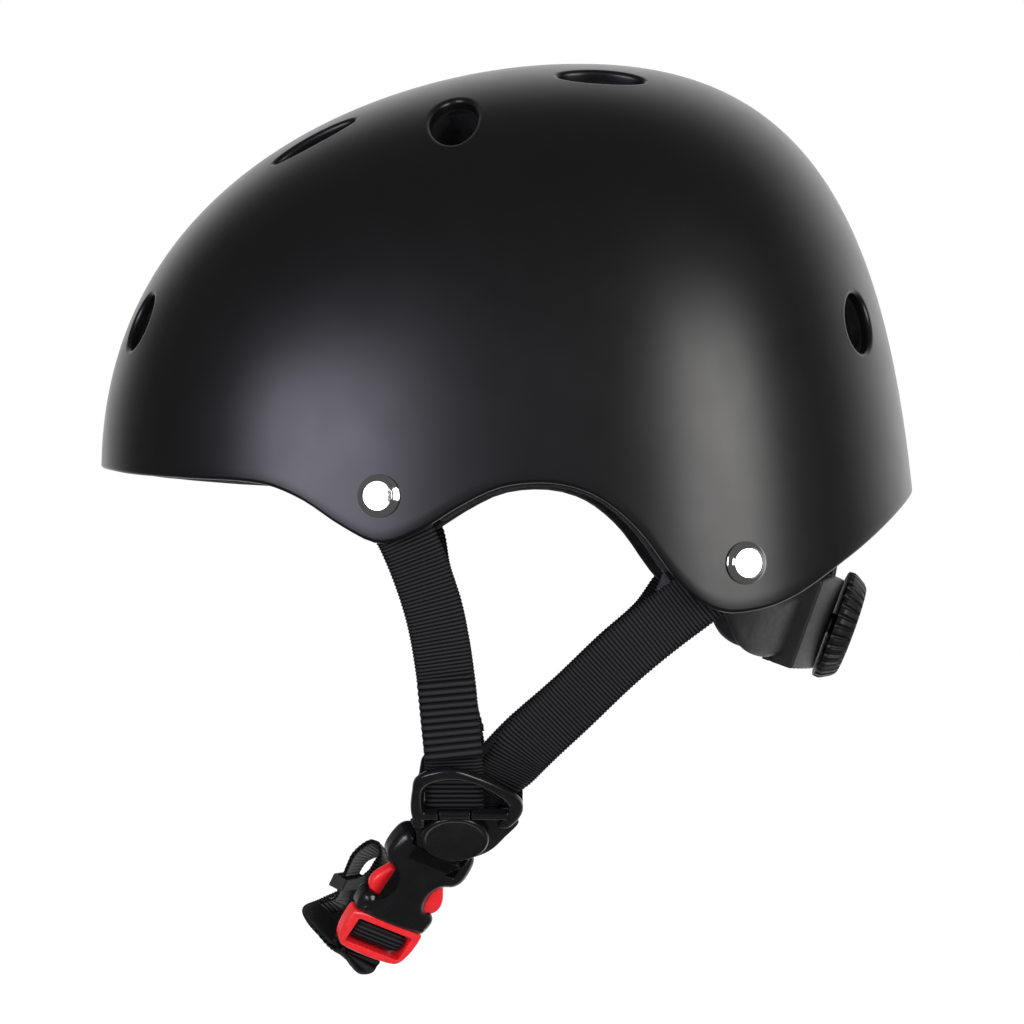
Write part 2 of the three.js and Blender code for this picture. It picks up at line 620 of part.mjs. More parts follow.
function chinStrap() {
  const approach = [
    onTab(0, 3.1), onTab(7, 3), onTab(14, 2.5), onTab(21, 1.2),
    { at: vec(-20.5, -70.5, -257.5), across: vec(0.34, 0.74, -0.58) },
    { at: vec(-11.5, -81, -262.8), across: vec(0.14, 0.68, -0.72) },
    { at: vec(0, -86.3, -265), across: vec(0, 0.61, -0.79) },
    { at: vec(9.5, -83.5, -268.2), across: vec(-0.2, 0.7, -0.68) },
    { at: buckle.at(52, 0, -5.2), across: vec(-0.38, 0.78, -0.5) },
  ];
  const ladder = LADDER.map(([p, n]) => inBuckle(p, 0, n));
  const tail = [
    { at: vec(13.8, -63.8, -249), across: vec(-0.6, 0.68, -0.42) },
    { at: vec(11, -63, -241.5), across: vec(-0.8, 0.42, -0.42) },
    { at: vec(9, -66.2, -237.4), across: vec(-0.92, 0.2, -0.34) },
    { at: vec(7.6, -72.4, -240.4), across: vec(-0.94, 0.11, -0.32) },
    { at: vec(6.6, -77, -248.5), across: vec(-0.94, 0.11, -0.32) },
    { at: vec(6, -79.8, -255.2), across: vec(-0.94, 0.11, -0.32) },
    { at: vec(5.6, -84.4, -257.4), across: vec(-0.94, 0.05, -0.34) },
  ];
  return ribbon([...approach, ...ladder, ...tail], WEB_THICK, 2);
}

// Small keeper loop round the tail.
function keeper(sample) {
  const frame = frameOf(sample.centre, sample.along, sample.across, sample.out);
  const outer = box(frame, -2.5, 2.5, -WEB_HALF - 2.2, WEB_HALF + 2.2, -2.9, 2.9);
  return outer.subtract(box(frame, -4, 4, -WEB_HALF - 0.9, WEB_HALF + 0.9, -1.7, 1.7));
}

// ---------------------------------------------------------------- dial fit system
const bend = (x) => HOUSING_RADIUS - Math.sqrt(HOUSING_RADIUS * HOUSING_RADIUS - x * x);
const HOUSING_STATIONS = [-38, -36.5, -32, -24, -12, 0, 12, 24, 32, 36.5, 38];
const housingHigh = (x) => HOUSING_HIGH - 3.2 * Math.max(0, Math.abs(x) / HOUSING_HALF - 0.6) ** 2 * 6;
const housingLow = (x) => HOUSING_LOW - 2.4 * (x / HOUSING_HALF) ** 2;

// Curved slab in the dial frame: inset from the housing outline, between two depths.
function curvedSlab(stations, inset, outer, inner, low = housingLow, high = housingHigh) {
  return skin(stations.map((x) => {
    const a = low(x) + inset;
    const b = high(x) - inset;
    const corner = (s, w) => dial.at(s, x, w - bend(x));
    return [corner(a, outer), corner(b, outer), corner(b, inner), corner(a, inner)];
  }));
}

function housingCover() {
  let body = curvedSlab(HOUSING_STATIONS, 0, -0.4, -8);
  const inside = [-36, -32, -24, -12, 0, 12, 24, 32, 36];
  body = body.subtract(curvedSlab(inside, 2, -2.4, -8.5));
  [-1, 1].forEach((side) => {
    const ends = [31, 37, 41].map((x) => x * side).sort((a, b) => a - b);
    body = body.subtract(curvedSlab(ends, 0, -3.6, -8.5, () => -16, () => 5.4));
  });
  [-12, 12].forEach((x) => {
    const post = frameOf(dial.at(-12.4, x, 0), dial.ea, dial.eb, dial.ec);
    body = body.add(rod(post, 2.3, -7.9, -2, 14)).subtract(rod(post, 1.2, -9, -3.6, 12));
  });
  body = body.subtract(rod(dial, 4.1, -5, 2, 16));
  return body.subtract(box(dial, 9, 17, -9.4, 9.4, -6.6, -3.6));
}

function housingBase() {
  let body = curvedSlab(HOUSING_STATIONS, 0, -8.3, -10.5);
  [-12, 12].forEach((x) => {
    const post = frameOf(dial.at(-12.4, x, -bend(12)), dial.ea, dial.eb, dial.ec);
    body = body.subtract(rod(post, 1.2, -12, -7, 12)).subtract(rod(post, 2.5, -12, -9.4, 14));
  });
  return body.subtract(rod(dial, 1.2, -12, -7, 12));
}

function housingScrew(side) {
  const post = frameOf(dial.at(-12.4, 12 * side, 0), dial.ea, dial.eb, dial.ec);
  const drop = -bend(12);
  const under = drop - 9.5;
  const head = drop - 10.4;
  return turned(post, [[0, -4], [0.9, -4], [0.9, under], [2.2, under], [2.2, head], [0, head]], 14);
}

const toothAngle = (radius) => {
  const base = PINION_PITCH * Math.cos(PRESSURE_ANGLE);
  const involute = (angle) => Math.tan(angle) - angle;
  const at = Math.acos(Math.min(base / Math.max(radius, base), 1));
  return (Math.PI / 2 - BACKLASH / 2) / 2 / PINION_PITCH + involute(PRESSURE_ANGLE) - involute(at);
};

function pinion() {
  const radii = [5, 5.8, PINION_PITCH + ADDENDUM];
  const outline = [];
  for (let tooth = 0; tooth < PINION_TEETH; tooth += 1) {
    const centre = 2 * Math.PI * tooth / PINION_TEETH;
    const point = (radius, side) => {
      const angle = centre + side * toothAngle(radius);
      outline.push([radius * Math.cos(angle), radius * Math.sin(angle)]);
    };
    radii.forEach((radius) => point(radius, -1));
    [...radii].reverse().forEach((radius) => point(radius, 1));
  }
  const gear = plate(dial, outline, -8, -5.9);
  return gear.add(rod(dial, 3.5, -6.5, 4.6, 16)).subtract(rod(dial, 1.3, -3, 6, 8));
}

// Rack with its teeth towards the pinion; side +1 lies above the pinion and serves the left band.
function rack(side) {
  const pitch = Math.PI;
  const slope = Math.tan(PRESSURE_ANGLE);
  const tip = PINION_PITCH - ADDENDUM;
  const root = PINION_PITCH + 1;
  const half = (pitch / 2 - BACKLASH / 2) / 2;
  const outline = [];
  for (let k = -4; k <= 3; k += 1) {
    const centre = (k + 0.5) * pitch;
    const wide = half + slope * (root - PINION_PITCH);
    const narrow = half - slope * ADDENDUM;
    outline.push([centre - wide, root], [centre - narrow, tip]);
    outline.push([centre + narrow, tip], [centre + wide, root]);
  }
  const end = 14.2;
  const points = [[-end + 1, root], ...outline, [end, root], [end, 9.3], [-end + 1, 9.3]];
  return plate(dial, points.map(([x, s]) => [s * side, x * side]), -7.85, -6.1);
}

function knob() {
  const sides = KNOB_TEETH * 2;
  const rows = [
    [0.3, KNOB_INNER, 0.6], [2.6, KNOB_INNER - 0.2, 1], [6.4, KNOB_OUTER, 0.7],
    [KNOB_DEPTH, KNOB_OUTER - 1.2, 0],
  ];
  const rings = rows.map(([w, radius, cut]) => Array.from({ length: sides }, (_, i) => {
    const groove = i % 2 === 0 ? 0 : 1.1;
    const r = radius - groove * cut;
    const angle = 2 * Math.PI * i / sides;
    return dial.at(r * Math.cos(angle), r * Math.sin(angle), w);
  }));
  const body = skin(rings, dial.at(0, 0, 0.3), dial.at(0, 0, KNOB_DEPTH));
  const bore = rod(dial, 3.8, -1, 5, 16);
  return body.subtract(bore).subtract(rod(dial, 1.6, 3, 9, 10)).subtract(rod(dial, 3.3, 6, 9, 14));
}

const dialScrew = () => turned(dial,
  [[0, -2], [1, -2], [1, 6.3], [3, 6.3], [3, 7.3], [0, 7.3]], 12);

// Where the band ends are clipped to the liner, inside the rear lobe.
const ANCHOR_PLACE = locate(vec(95, 45, -148.5), FROM_SIDE);
const ANCHOR_DEPTH = linerDepth(ANCHOR_PLACE.theta, ANCHOR_PLACE.t) + PAD_GAP + 3.6;
const anchorAt = dome(ANCHOR_PLACE.theta, ANCHOR_PLACE.t, ANCHOR_DEPTH);
const anchorOut = domeNormal(ANCHOR_PLACE.theta, ANCHOR_PLACE.t);
const anchorAlong = squareTo(unit(0.5, -0.8, 0.36), anchorOut);
const anchor = frameOf(anchorAt, anchorAlong, anchorOut.clone().cross(anchorAlong), anchorOut);

function headband() {
  const station = (s, x, depth, half) => (
    { at: dial.at(s, x, -depth - bend(x)), across: dial.ea.clone(), half }
  );
  const bandUp = anchor.eb.clone();
  if (bandUp.z < 0) bandUp.negate();
  const stations = [
    station(8.1, 14.6, 5.9, 1.2), station(7, 19, 5.8, 2.2), station(0.4, 26, 5.5, 6.8),
    station(-4.4, 32, 5.4, 9.5),
    station(-5.4, 40, 5.4, 10),
    { at: vec(53, 60, -164.2), across: vec(0, 0.34, 0.94), half: 9 },
    { at: vec(64, 54, -161.2), across: vec(0, 0.32, 0.95), half: 8.8 },
    { at: anchor.at(-12, -1, 0), across: bandUp, half: 8 },
    { at: anchor.at(-6.5, 0, 0), across: bandUp, half: 7.2 },
    { at: anchor.at(3.5, 0, 0), across: bandUp, half: 7 },
  ];
  return ribbon(stations, 1.8, 2).body;
}

function bandAnchor() {
  const body = box(anchor, -6, 7, -9.5, 9.5, -2.6, 3.1);
  return body.subtract(box(anchor, -7, 4.2, -7.8, 7.8, -1.3, 1.3));
}

// Push pin that holds the hanger's top end in the liner at the nape.
const nape = onDome(0, 110, -110);
const napeInside = dome(Math.PI, nape.place.t, linerDepth(Math.PI, nape.place.t));
const pinFrame = frameOf(napeInside, vec(1, 0, 0), nape.normal.clone().cross(vec(1, 0, 0)), nape.normal);
const PIN_HOLE = 1.7;
const PIN_PROFILE = [[0, 11], [1.4, 11], [1.4, -4.8], [4, -4.8], [4, -6.1], [0, -6.1]];

function cradleHanger() {
  const across = vec(1, 0, 0);
  const rear = (z, depth) => {
    const { place } = onDome(0, 110, z);
    return dome(Math.PI, place.t, linerDepth(Math.PI, place.t) + depth);
  };
  const stations = [
    { at: dial.at(9.9, 0, -5.1), across, half: 9 },
    { at: dial.at(13.5, 0, -5.1), across, half: 9 },
    { at: vec(0, 84.6, -140), across, half: 7.5 },
    { at: rear(-121, PAD_GAP + 1.6), across, half: 7.5 },
    { at: rear(-103, PAD_GAP + 1.6), across, half: 8.5 },
  ];
  return ribbon(stations, 2.4, 3).body.subtract(rod(pinFrame, PIN_HOLE, -6, 3, 8));
}

liner = liner.subtract(rod(pinFrame, PIN_HOLE, -2, 12, 8));

// ---------------------------------------------------------------- materials
const look = (color, roughness, metalness = 0) => ({ color, roughness, metalness });
const LOOKS = {
  shell: look(0x1b1b1c, 0.42), foam: look(0x232324, 0.9), fabric: look(0x1d1d1f, 0.95),
  chrome: look(0xd9dadc, 0.12, 1), steel: look(0xb9babd, 0.35, 1), webbing: look(0x131314, 0.85),
  black: look(0x17171a, 0.35), red: look(0xe52525, 0.3), band: look(0x1a1a1c, 0.55),
};

const group = new THREE.Group();
group.name = 'water_helmet';

function add(name, body, kind) {
  const mesh = body.getMesh();
  const geometry = new THREE.BufferGeometry();
  geometry.setAttribute('position', new THREE.BufferAttribute(new Float32Array(mesh.vertProperties), 3));
  geometry.setIndex(new THREE.BufferAttribute(new Uint32Array(mesh.triVerts), 1));
  geometry.computeVertexNormals();
  const piece = new THREE.Mesh(geometry, new THREE.MeshStandardMaterial({ ...LOOKS[kind], name: kind }));
  piece.name = name;
  group.add(piece);
}

function addPair(name, body, kind) {
  add(`${name}_left`, body, kind);
  add(`${name}_right`, mirrored(body), kind);
}

// ---------------------------------------------------------------- assembly
add('outer_shell', shell, 'shell');
add('foam_liner', liner, 'foam');
add('crown_pad', crownPad(), 'fabric');
add('front_pad', pad(-34, 34, 0.7, 0.84, 10), 'fabric');
addPair('side_pad', pad(62, 108, 0.52, 0.72, 8), 'fabric');

addPair('rivet_front', rivetBody(RIVETS.front), 'chrome');
addPair('rivet_rear', rivetBody(RIVETS.rear), 'chrome');
addPair('washer_front', washerBody(RIVETS.front), 'steel');
addPair('washer_rear', washerBody(RIVETS.rear), 'steel');

add('side_strap_left', sideStrap(buckle, BAR_WRAP), 'webbing');
add('side_strap_right', mirrored(sideStrap(tab, SEWN_FOLD)), 'webbing');
const lap = [FRONT_RUN[2], FRONT_RUN[3], inDivider(0, 37.5, LAYER, 1, 0)];
addPair('strap_overlap', ribbon(lap, LAP_THICK, 3, LAP_SHIFT).body, 'webbing');

addPair('divider_frame', dividerFrame(), 'black');
addPair('divider_lock', dividerLock(), 'black');

add('buckle_female', buckleFemale(), 'black');
add('buckle_male', buckleMale(), 'red');
add('prong_front', prong(-1), 'red');
add('prong_rear', prong(1), 'red');
const chin = chinStrap();
add('chin_strap', chin.body, 'webbing');
add('strap_keeper', keeper(chin.samples[chin.samples.length - 5]), 'black');

add('dial_knob', knob(), 'black');
add('dial_pinion', pinion(), 'steel');
add('dial_screw', dialScrew(), 'steel');
add('rack_left', rack(1), 'band');
add('rack_right', rack(-1), 'band');
add('housing_cover', housingCover(), 'black');
add('housing_base', housingBase(), 'black');
add('housing_screw_left', housingScrew(1), 'steel');
add('housing_screw_right', housingScrew(-1), 'steel');
addPair('headband', headband(), 'band');
addPair('band_anchor', bandAnchor(), 'black');
add('cradle_hanger', cradleHanger(), 'band');
add('hanger_pin', turned(pinFrame, PIN_PROFILE, 12), 'black');
add('nape_pad', curvedSlab([-34, -32, -20, -8, 8, 20, 32, 34], 2.6, -10.8, -15), 'fabric');

export default group;
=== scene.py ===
"""Looks of the water helmet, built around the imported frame.

The helpers work in millimetres in the frame's own axes: the helmet faces -Y, +X is the wearer's
left and +Z is up. Meshes are scaled to metres when they are made.
"""
import math

import bpy
import numpy as np
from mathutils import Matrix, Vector


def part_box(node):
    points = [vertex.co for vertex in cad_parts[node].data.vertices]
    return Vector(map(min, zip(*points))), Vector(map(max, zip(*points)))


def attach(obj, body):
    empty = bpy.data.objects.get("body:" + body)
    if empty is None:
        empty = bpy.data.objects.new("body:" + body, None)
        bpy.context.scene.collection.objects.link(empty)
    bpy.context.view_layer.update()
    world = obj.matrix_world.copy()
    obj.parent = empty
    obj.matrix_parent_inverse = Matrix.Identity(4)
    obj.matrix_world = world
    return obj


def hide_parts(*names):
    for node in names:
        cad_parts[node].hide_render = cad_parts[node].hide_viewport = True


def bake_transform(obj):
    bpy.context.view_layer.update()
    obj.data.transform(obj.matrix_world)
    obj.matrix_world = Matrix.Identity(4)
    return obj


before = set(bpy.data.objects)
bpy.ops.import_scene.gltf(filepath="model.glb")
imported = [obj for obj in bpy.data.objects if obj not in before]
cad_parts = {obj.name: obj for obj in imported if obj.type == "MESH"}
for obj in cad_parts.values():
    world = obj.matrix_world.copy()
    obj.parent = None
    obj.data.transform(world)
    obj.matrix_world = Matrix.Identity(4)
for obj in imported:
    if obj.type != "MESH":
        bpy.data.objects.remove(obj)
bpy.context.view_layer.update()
MM = 0.001

# ------------------------------------------------------------------ driving dimensions
CROWN_TOP = 22.0          # shell's highest point above the crown rest
CURVE_END = -165.0        # level where the three master curves end
SHELL_THICK = 2.6
LINER_OUTER = 3.5         # liner starts this far under the shell's outer face
LINER_CROWN = 12.0
LINER_FRONT = 24.0
LINER_SIDE = 14.0
LINER_REAR = 17.0
LINER_DROP = 0.9          # liner shows this far under the shell's edge
PAD_GAP = 1.6             # soft pads stand this far off the liner
PAD_THICK = 6.0
CROWN_PAD_RADIUS = 26.0
WEB_HALF = 9.3            # half width of the webbing
WEB_THICK = 1.5
WEB_DEPTH = SHELL_THICK + 0.3 + 0.9 + WEB_THICK / 2
LAYER = 1.2
LAP_THICK = 1.0
LAP_SHIFT = WEB_THICK / 2 + LAP_THICK / 2 + 0.5
FINE_RIB = 1.25           # pitch of the webbing's cross ribs
SERRATION = 0.26          # how far the ribs stand out at the webbing's edges
COARSE_RIB = 2.35         # pitch of the ribbed sleeve above the divider
RIVET_HEAD = 6.75
RIVET_FACE = 4.6
RIVET_HOLE = 3.0
VENT_FILLET = 1.5         # rounding of the vent edges
HOUSING_RADIUS = 85.0     # plan radius that the dial housing and the band follow
HOUSING_HALF = 38.0


# ------------------------------------------------------------------ camera, light, floor
CAMERA_BACK = 1.6
CENTRE_Y = -0.0226
CENTRE_Z = -0.1263
SEEN_WIDTH = 0.3405
SENSOR = 36.0
FLOOR_Z = -0.34
LIGHT_BACK = 3.0
DIM_SIDE = 0.09           # how bright the surroundings look in glossy surfaces
BRIGHT_SIDE = 1.35


def aim(obj, place, target):
    obj.location = place
    direction = Vector(target) - Vector(place)
    obj.rotation_mode = "QUATERNION"
    obj.rotation_quaternion = direction.to_track_quat("-Z", "Y")


def make_camera():
    data = bpy.data.cameras.new("camera")
    data.sensor_width = SENSOR
    data.lens = SENSOR * CAMERA_BACK / SEEN_WIDTH
    data.clip_end = 50
    camera = bpy.data.objects.new("camera", data)
    bpy.context.scene.collection.objects.link(camera)
    aim(camera, (CAMERA_BACK, CENTRE_Y, CENTRE_Z), (0, CENTRE_Y, CENTRE_Z))
    bpy.context.scene.camera = camera


def softbox(name, azimuth, height, wide, tall, radiance, tint):
    """A soft rectangular light aimed at the helmet from an azimuth counted from +X to +Y."""
    turn = math.radians(azimuth)
    data = bpy.data.lights.new(name, "AREA")
    data.shape = "RECTANGLE"
    data.size = wide
    data.size_y = tall
    data.energy = radiance * math.pi * wide * tall
    data.color = tint
    light = bpy.data.objects.new(name, data)
    bpy.context.scene.collection.objects.link(light)
    place = (LIGHT_BACK * math.cos(turn), LIGHT_BACK * math.sin(turn), height)
    aim(light, place, (0, 0, -0.11))


def make_studio():
    """White surroundings, dim in glossy surfaces and brighter there towards -X, and softboxes."""
    world = bpy.data.worlds.new("studio")
    world.use_nodes = True
    nodes, links = world.node_tree.nodes, world.node_tree.links
    background = nodes["Background"]
    background.inputs["Color"].default_value = (1, 1, 1, 1)
    direction = nodes.new("ShaderNodeTexCoord")
    along = nodes.new("ShaderNodeVectorMath")
    along.operation = "DOT_PRODUCT"
    along.inputs[1].default_value = (0.97, -0.22, 0)
    links.new(direction.outputs["Generated"], along.inputs[0])
    glow = nodes.new("ShaderNodeMapRange")
    glow.interpolation_type = "SMOOTHSTEP"
    glow.inputs["From Min"].default_value = -0.25
    glow.inputs["From Max"].default_value = -1
    glow.inputs["To Min"].default_value = DIM_SIDE
    glow.inputs["To Max"].default_value = BRIGHT_SIDE
    links.new(along.outputs["Value"], glow.inputs["Value"])
    rays = nodes.new("ShaderNodeLightPath")
    choose = nodes.new("ShaderNodeMix")
    choose.inputs["A"].default_value = 1
    links.new(rays.outputs["Is Glossy Ray"], choose.inputs["Factor"])
    links.new(glow.outputs["Result"], choose.inputs["B"])
    links.new(choose.outputs["Result"], background.inputs["Strength"])
    bpy.context.scene.world = world
    bpy.context.scene.view_settings.view_transform = "Standard"
    softbox("softbox_front", -38, 0.04, 1.65, 1.35, 7.5, (0.86, 0.83, 1.0))
    softbox("softbox_rear", 40, 0.18, 1.55, 1.8, 6.9, (1.0, 0.98, 0.97))


make_camera()
make_studio()


# ------------------------------------------------------------------ materials
class Paint:
    """A procedural material made of a few named layers."""

    def __init__(self, name, base, roughness, metallic=0.0, specular=0.5):
        self.material = bpy.data.materials.new(name)
        self.material.use_nodes = True
        self.tree = self.material.node_tree
        self.shader = self.tree.nodes["Principled BSDF"]
        self.base = base
        self.shader.inputs["Roughness"].default_value = roughness
        self.shader.inputs["Metallic"].default_value = metallic
        self.shader.inputs["Specular IOR Level"].default_value = specular
        self.height = None
        self.coords = self.node("ShaderNodeTexCoord").outputs["Object"]

    def node(self, kind, **values):
        made = self.tree.nodes.new(kind)
        for key, value in values.items():
            setattr(made, key, value)
        return made

    def link(self, output, socket):
        self.tree.links.new(output, socket)

    def set(self, socket, value):
        self.shader.inputs[socket].default_value = value

    def use_uv(self):
        self.coords = self.node("ShaderNodeTexCoord").outputs["UV"]

    def noise(self, size, detail=3.0):
        """Noise with features of about this size in metres, from 0 to 1."""
        made = self.node("ShaderNodeTexNoise")
        made.inputs["Scale"].default_value = 1 / size
        made.inputs["Detail"].default_value = detail
        self.link(self.coords, made.inputs["Vector"])
        return made.outputs["Fac"]

    def cells(self, size):
        made = self.node("ShaderNodeTexVoronoi")
        made.inputs["Scale"].default_value = 1 / size
        self.link(self.coords, made.inputs["Vector"])
        return made.outputs["Distance"]

    def bands(self, size, direction="X", distortion=0.0):
        """Waves across a direction that start on a crest."""
        made = self.node("ShaderNodeTexWave", bands_direction=direction, wave_profile="SIN")
        made.inputs["Phase Offset"].default_value = math.pi
        made.inputs["Scale"].default_value = 2 * math.pi / 20 / size
        made.inputs["Distortion"].default_value = distortion
        self.link(self.coords, made.inputs["Vector"])
        return made.outputs["Fac"]

    def combine(self, operation, first, second):
        made = self.node("ShaderNodeMath", operation=operation)
        self.link(first, made.inputs[0])
        if isinstance(second, float):
            made.inputs[1].default_value = second
        else:
            self.link(second, made.inputs[1])
        return made.outputs["Value"]

    def spread(self, fac, low, high):
        """The factor mapped onto the range low to high."""
        made = self.node("ShaderNodeMapRange")
        made.inputs["From Min"].default_value = 0.3
        made.inputs["From Max"].default_value = 0.7
        made.inputs["To Min"].default_value = low
        made.inputs["To Max"].default_value = high
        self.link(fac, made.inputs["Value"])
        return made.outputs["Result"]

    def colour(self, fac, dark=0.8, light=1.2):
        """Varies the base colour between two shares of itself."""
        ramp = self.node("ShaderNodeValToRGB")
        for element, share, place in zip(ramp.color_ramp.elements, (dark, light), (0.3, 0.7)):
            element.position = place
            element.color = (*[min(1.0, c * share) for c in self.base], 1)
        self.link(fac, ramp.inputs["Fac"])
        self.link(ramp.outputs["Color"], self.shader.inputs["Base Color"])

    def rough(self, fac, low, high):
        self.link(self.spread(fac, low, high), self.shader.inputs["Roughness"])

    def bump(self, fac, depth, strength=1.0):
        made = self.node("ShaderNodeBump")
        made.inputs["Strength"].default_value = strength
        made.inputs["Distance"].default_value = depth
        self.link(fac, made.inputs["Height"])
        if self.height:
            self.link(self.height, made.inputs["Normal"])
        self.height = made.outputs["Normal"]
        self.link(self.height, self.shader.inputs["Normal"])


def make_materials():
    made = {}

    shell = Paint("shell_satin", (0.002, 0.002, 0.0022), 0.34, specular=0.5)
    shell.colour(shell.noise(0.03), 0.85, 1.2)
    shell.rough(shell.noise(0.012, 5), 0.325, 0.355)
    shell.bump(shell.noise(0.00045, 2), 0.00002, 0.35)
    made["shell"] = shell

    foam = Paint("liner_foam", (0.006, 0.006, 0.0065), 0.85, specular=0.2)
    foam.colour(foam.noise(0.004, 5), 0.6, 1.5)
    foam.bump(foam.cells(0.0032), 0.0006, 0.8)
    foam.bump(foam.noise(0.0006, 4), 0.0001, 0.5)
    made["foam"] = foam

    fabric = Paint("pad_fabric", (0.012, 0.012, 0.013), 0.95, specular=0.1)
    fabric.set("Sheen Weight", 0.25)
    fabric.set("Sheen Roughness", 0.5)
    fabric.colour(fabric.noise(0.0016, 6), 0.6, 1.5)
    fabric.bump(fabric.cells(0.0009), 0.0003, 0.7)
    fabric.bump(fabric.noise(0.008, 3), 0.0006, 0.3)
    made["fabric"] = fabric

    chrome = Paint("rivet_chrome", (0.86, 0.855, 0.85), 0.08, 1.0)
    chrome.colour(chrome.noise(0.003), 0.94, 1.05)
    chrome.rough(chrome.noise(0.0012, 6), 0.05, 0.14)
    chrome.bump(chrome.noise(0.0009, 3), 0.00001, 0.2)
    made["chrome"] = chrome

    steel = Paint("plain_steel", (0.55, 0.55, 0.56), 0.3, 1.0)
    steel.colour(steel.noise(0.002), 0.85, 1.1)
    steel.rough(steel.noise(0.0006, 6), 0.22, 0.42)
    made["steel"] = steel

    for name, pitch, gloss in (
        ("webbing", FINE_RIB, 0.7), ("sleeve", COARSE_RIB, 0.7), ("binding", FINE_RIB, 0.34),
    ):
        web = Paint(name, (0.0042, 0.0042, 0.0046), gloss, specular=0.22)
        web.use_uv()
        # The rib bands paint light and shade into the colour: dark grooves are painted shade and light crests
        # are painted highlight. The fine yarn bands add the weave's own tone.
        painted_rib_shade = web.bands(pitch * MM)
        yarn = web.bands(0.0006, "Y", distortion=0.6)
        rib_shade_and_yarn = web.combine("ADD", web.combine("MULTIPLY", painted_rib_shade, 0.8), web.combine("MULTIPLY", yarn, 0.2))
        # Colour runs from painted groove shade (dark share) to painted crest highlight (light share).
        web.colour(rib_shade_and_yarn, 0.05, 3.6)
        web.bump(yarn, 0.00004, 0.4)
        web.bump(web.noise(0.0003, 3), 0.00005, 0.4)
        made[name] = web

    black = Paint("hard_black", (0.0045, 0.0045, 0.005), 0.24, specular=0.5)
    black.colour(black.noise(0.006), 0.8, 1.25)
    black.rough(black.noise(0.0025, 5), 0.2, 0.28)
    black.bump(black.noise(0.0005, 3), 0.00003, 0.3)
    made["black"] = black

    matt = Paint("textured_black", (0.005, 0.005, 0.0055), 0.42, specular=0.4)
    matt.colour(matt.noise(0.004), 0.75, 1.3)
    matt.rough(matt.noise(0.001, 5), 0.38, 0.52)
    matt.bump(matt.noise(0.0004, 3), 0.00005, 0.5)
    made["matt"] = matt

    rubber = Paint("keeper_rubber", (0.012, 0.012, 0.012), 0.6, specular=0.3)
    rubber.colour(rubber.noise(0.002), 0.8, 1.25)
    rubber.bump(rubber.noise(0.0005, 3), 0.00005, 0.5)
    made["rubber"] = rubber

    red = Paint("buckle_red", (0.6, 0.012, 0.016), 0.26, specular=0.5)
    red.set("Subsurface Weight", 0.06)
    red.set("Subsurface Scale", 0.002)
    red.colour(red.noise(0.005), 0.92, 1.05)
    red.rough(red.noise(0.002, 5), 0.22, 0.32)
    red.bump(red.noise(0.0006, 3), 0.00002, 0.3)
    made["red"] = red

    nylon = Paint("band_nylon", (0.012, 0.012, 0.013), 0.48, specular=0.35)
    nylon.colour(nylon.noise(0.005), 0.8, 1.25)
    nylon.rough(nylon.noise(0.002, 5), 0.42, 0.54)
    nylon.bump(nylon.noise(0.0006, 3), 0.00004, 0.4)
    made["nylon"] = nylon

    floor = Paint("floor_pale", (1.0, 1.0, 1.0), 0.9, specular=0.0)
    floor.colour(floor.noise(0.4), 0.99, 1.0)
    made["floor"] = floor
    return {name: paint.material for name, paint in made.items()}


LOOK = make_materials()


# ------------------------------------------------------------------ geometry helpers
def unit(*v):
    v = np.asarray(v[0] if len(v) == 1 else v, float)
    return v / np.linalg.norm(v, axis=-1, keepdims=True)


def mix(a, b, k):
    return a + (b - a) * k


def square_to(direction, normal):
    """The part of a direction that lies square to another one."""
    direction = np.asarray(direction, float)
    return unit(direction - normal * np.dot(direction, normal))


class Local:
    """A right-handed local frame in the row frame."""

    def __init__(self, origin, ea, eb, ec):
        self.origin = np.asarray(origin, float)
        self.axes = np.array([ea, eb, ec], float)
        self.ea, self.eb, self.ec = self.axes

    def at(self, *abc):
        abc = np.asarray(abc[0] if len(abc) == 1 else abc, float)
        return self.origin + abc @ self.axes


def strip_faces(rows, count, closed=True):
    """Quads between rows of points; each row closes on itself when closed is true."""
    r, i = np.meshgrid(np.arange(rows - 1), np.arange(count if closed else count - 1), indexing="ij")
    a = r * count + i
    b = r * count + (i + 1) % count
    return np.stack([a, b, b + count, a + count], -1).reshape(-1, 4).tolist()


def loft(rings, start=None, end=None):
    """Closed skin over rings of points. An end closes on a pole point or with one flat face."""
    rings = np.asarray(rings, float)
    rows, count = rings.shape[:2]
    points = rings.reshape(-1, 3).tolist()
    faces = strip_faces(rows, count)
    last = (rows - 1) * count
    for base, pole, turn in ((0, start, False), (last, end, True)):
        loop = list(range(base, base + count))
        if pole is None:
            faces.append(loop if turn else loop[::-1])
            continue
        tip = len(points)
        points.append(list(pole))
        for i in range(count):
            pair = [loop[i], loop[(i + 1) % count]]
            faces.append([tip, *(pair if turn else pair[::-1])])
    return np.array(points), faces


def turned(profile, sides=72):
    """Body of revolution about the third axis; the profile starts and ends on the axis."""
    angles = np.linspace(0, 2 * math.pi, sides, endpoint=False)
    rings = [
        np.stack([r * np.cos(angles), r * np.sin(angles), np.full(sides, h)], -1) for r, h in profile[1:-1]
    ]
    return loft(rings, (0, 0, profile[0][1]), (0, 0, profile[-1][1]))


def rounded_profile(corners, radius=0.25, steps=3):
    """A turned profile with its corners eased by short arcs."""
    eased = [corners[0]]
    for before, corner, after in zip(corners, corners[1:], corners[2:]):
        c = np.array(corner, float)
        into = np.array(before, float) - c
        out = np.array(after, float) - c
        reach = min(radius, 0.45 * np.linalg.norm(into), 0.45 * np.linalg.norm(out))
        p = c + into / np.linalg.norm(into) * reach
        q = c + out / np.linalg.norm(out) * reach
        for k in range(steps + 1):
            t = k / steps
            eased.append(tuple((1 - t) ** 2 * p + 2 * t * (1 - t) * c + t * t * q))
    return [*eased, corners[-1]]


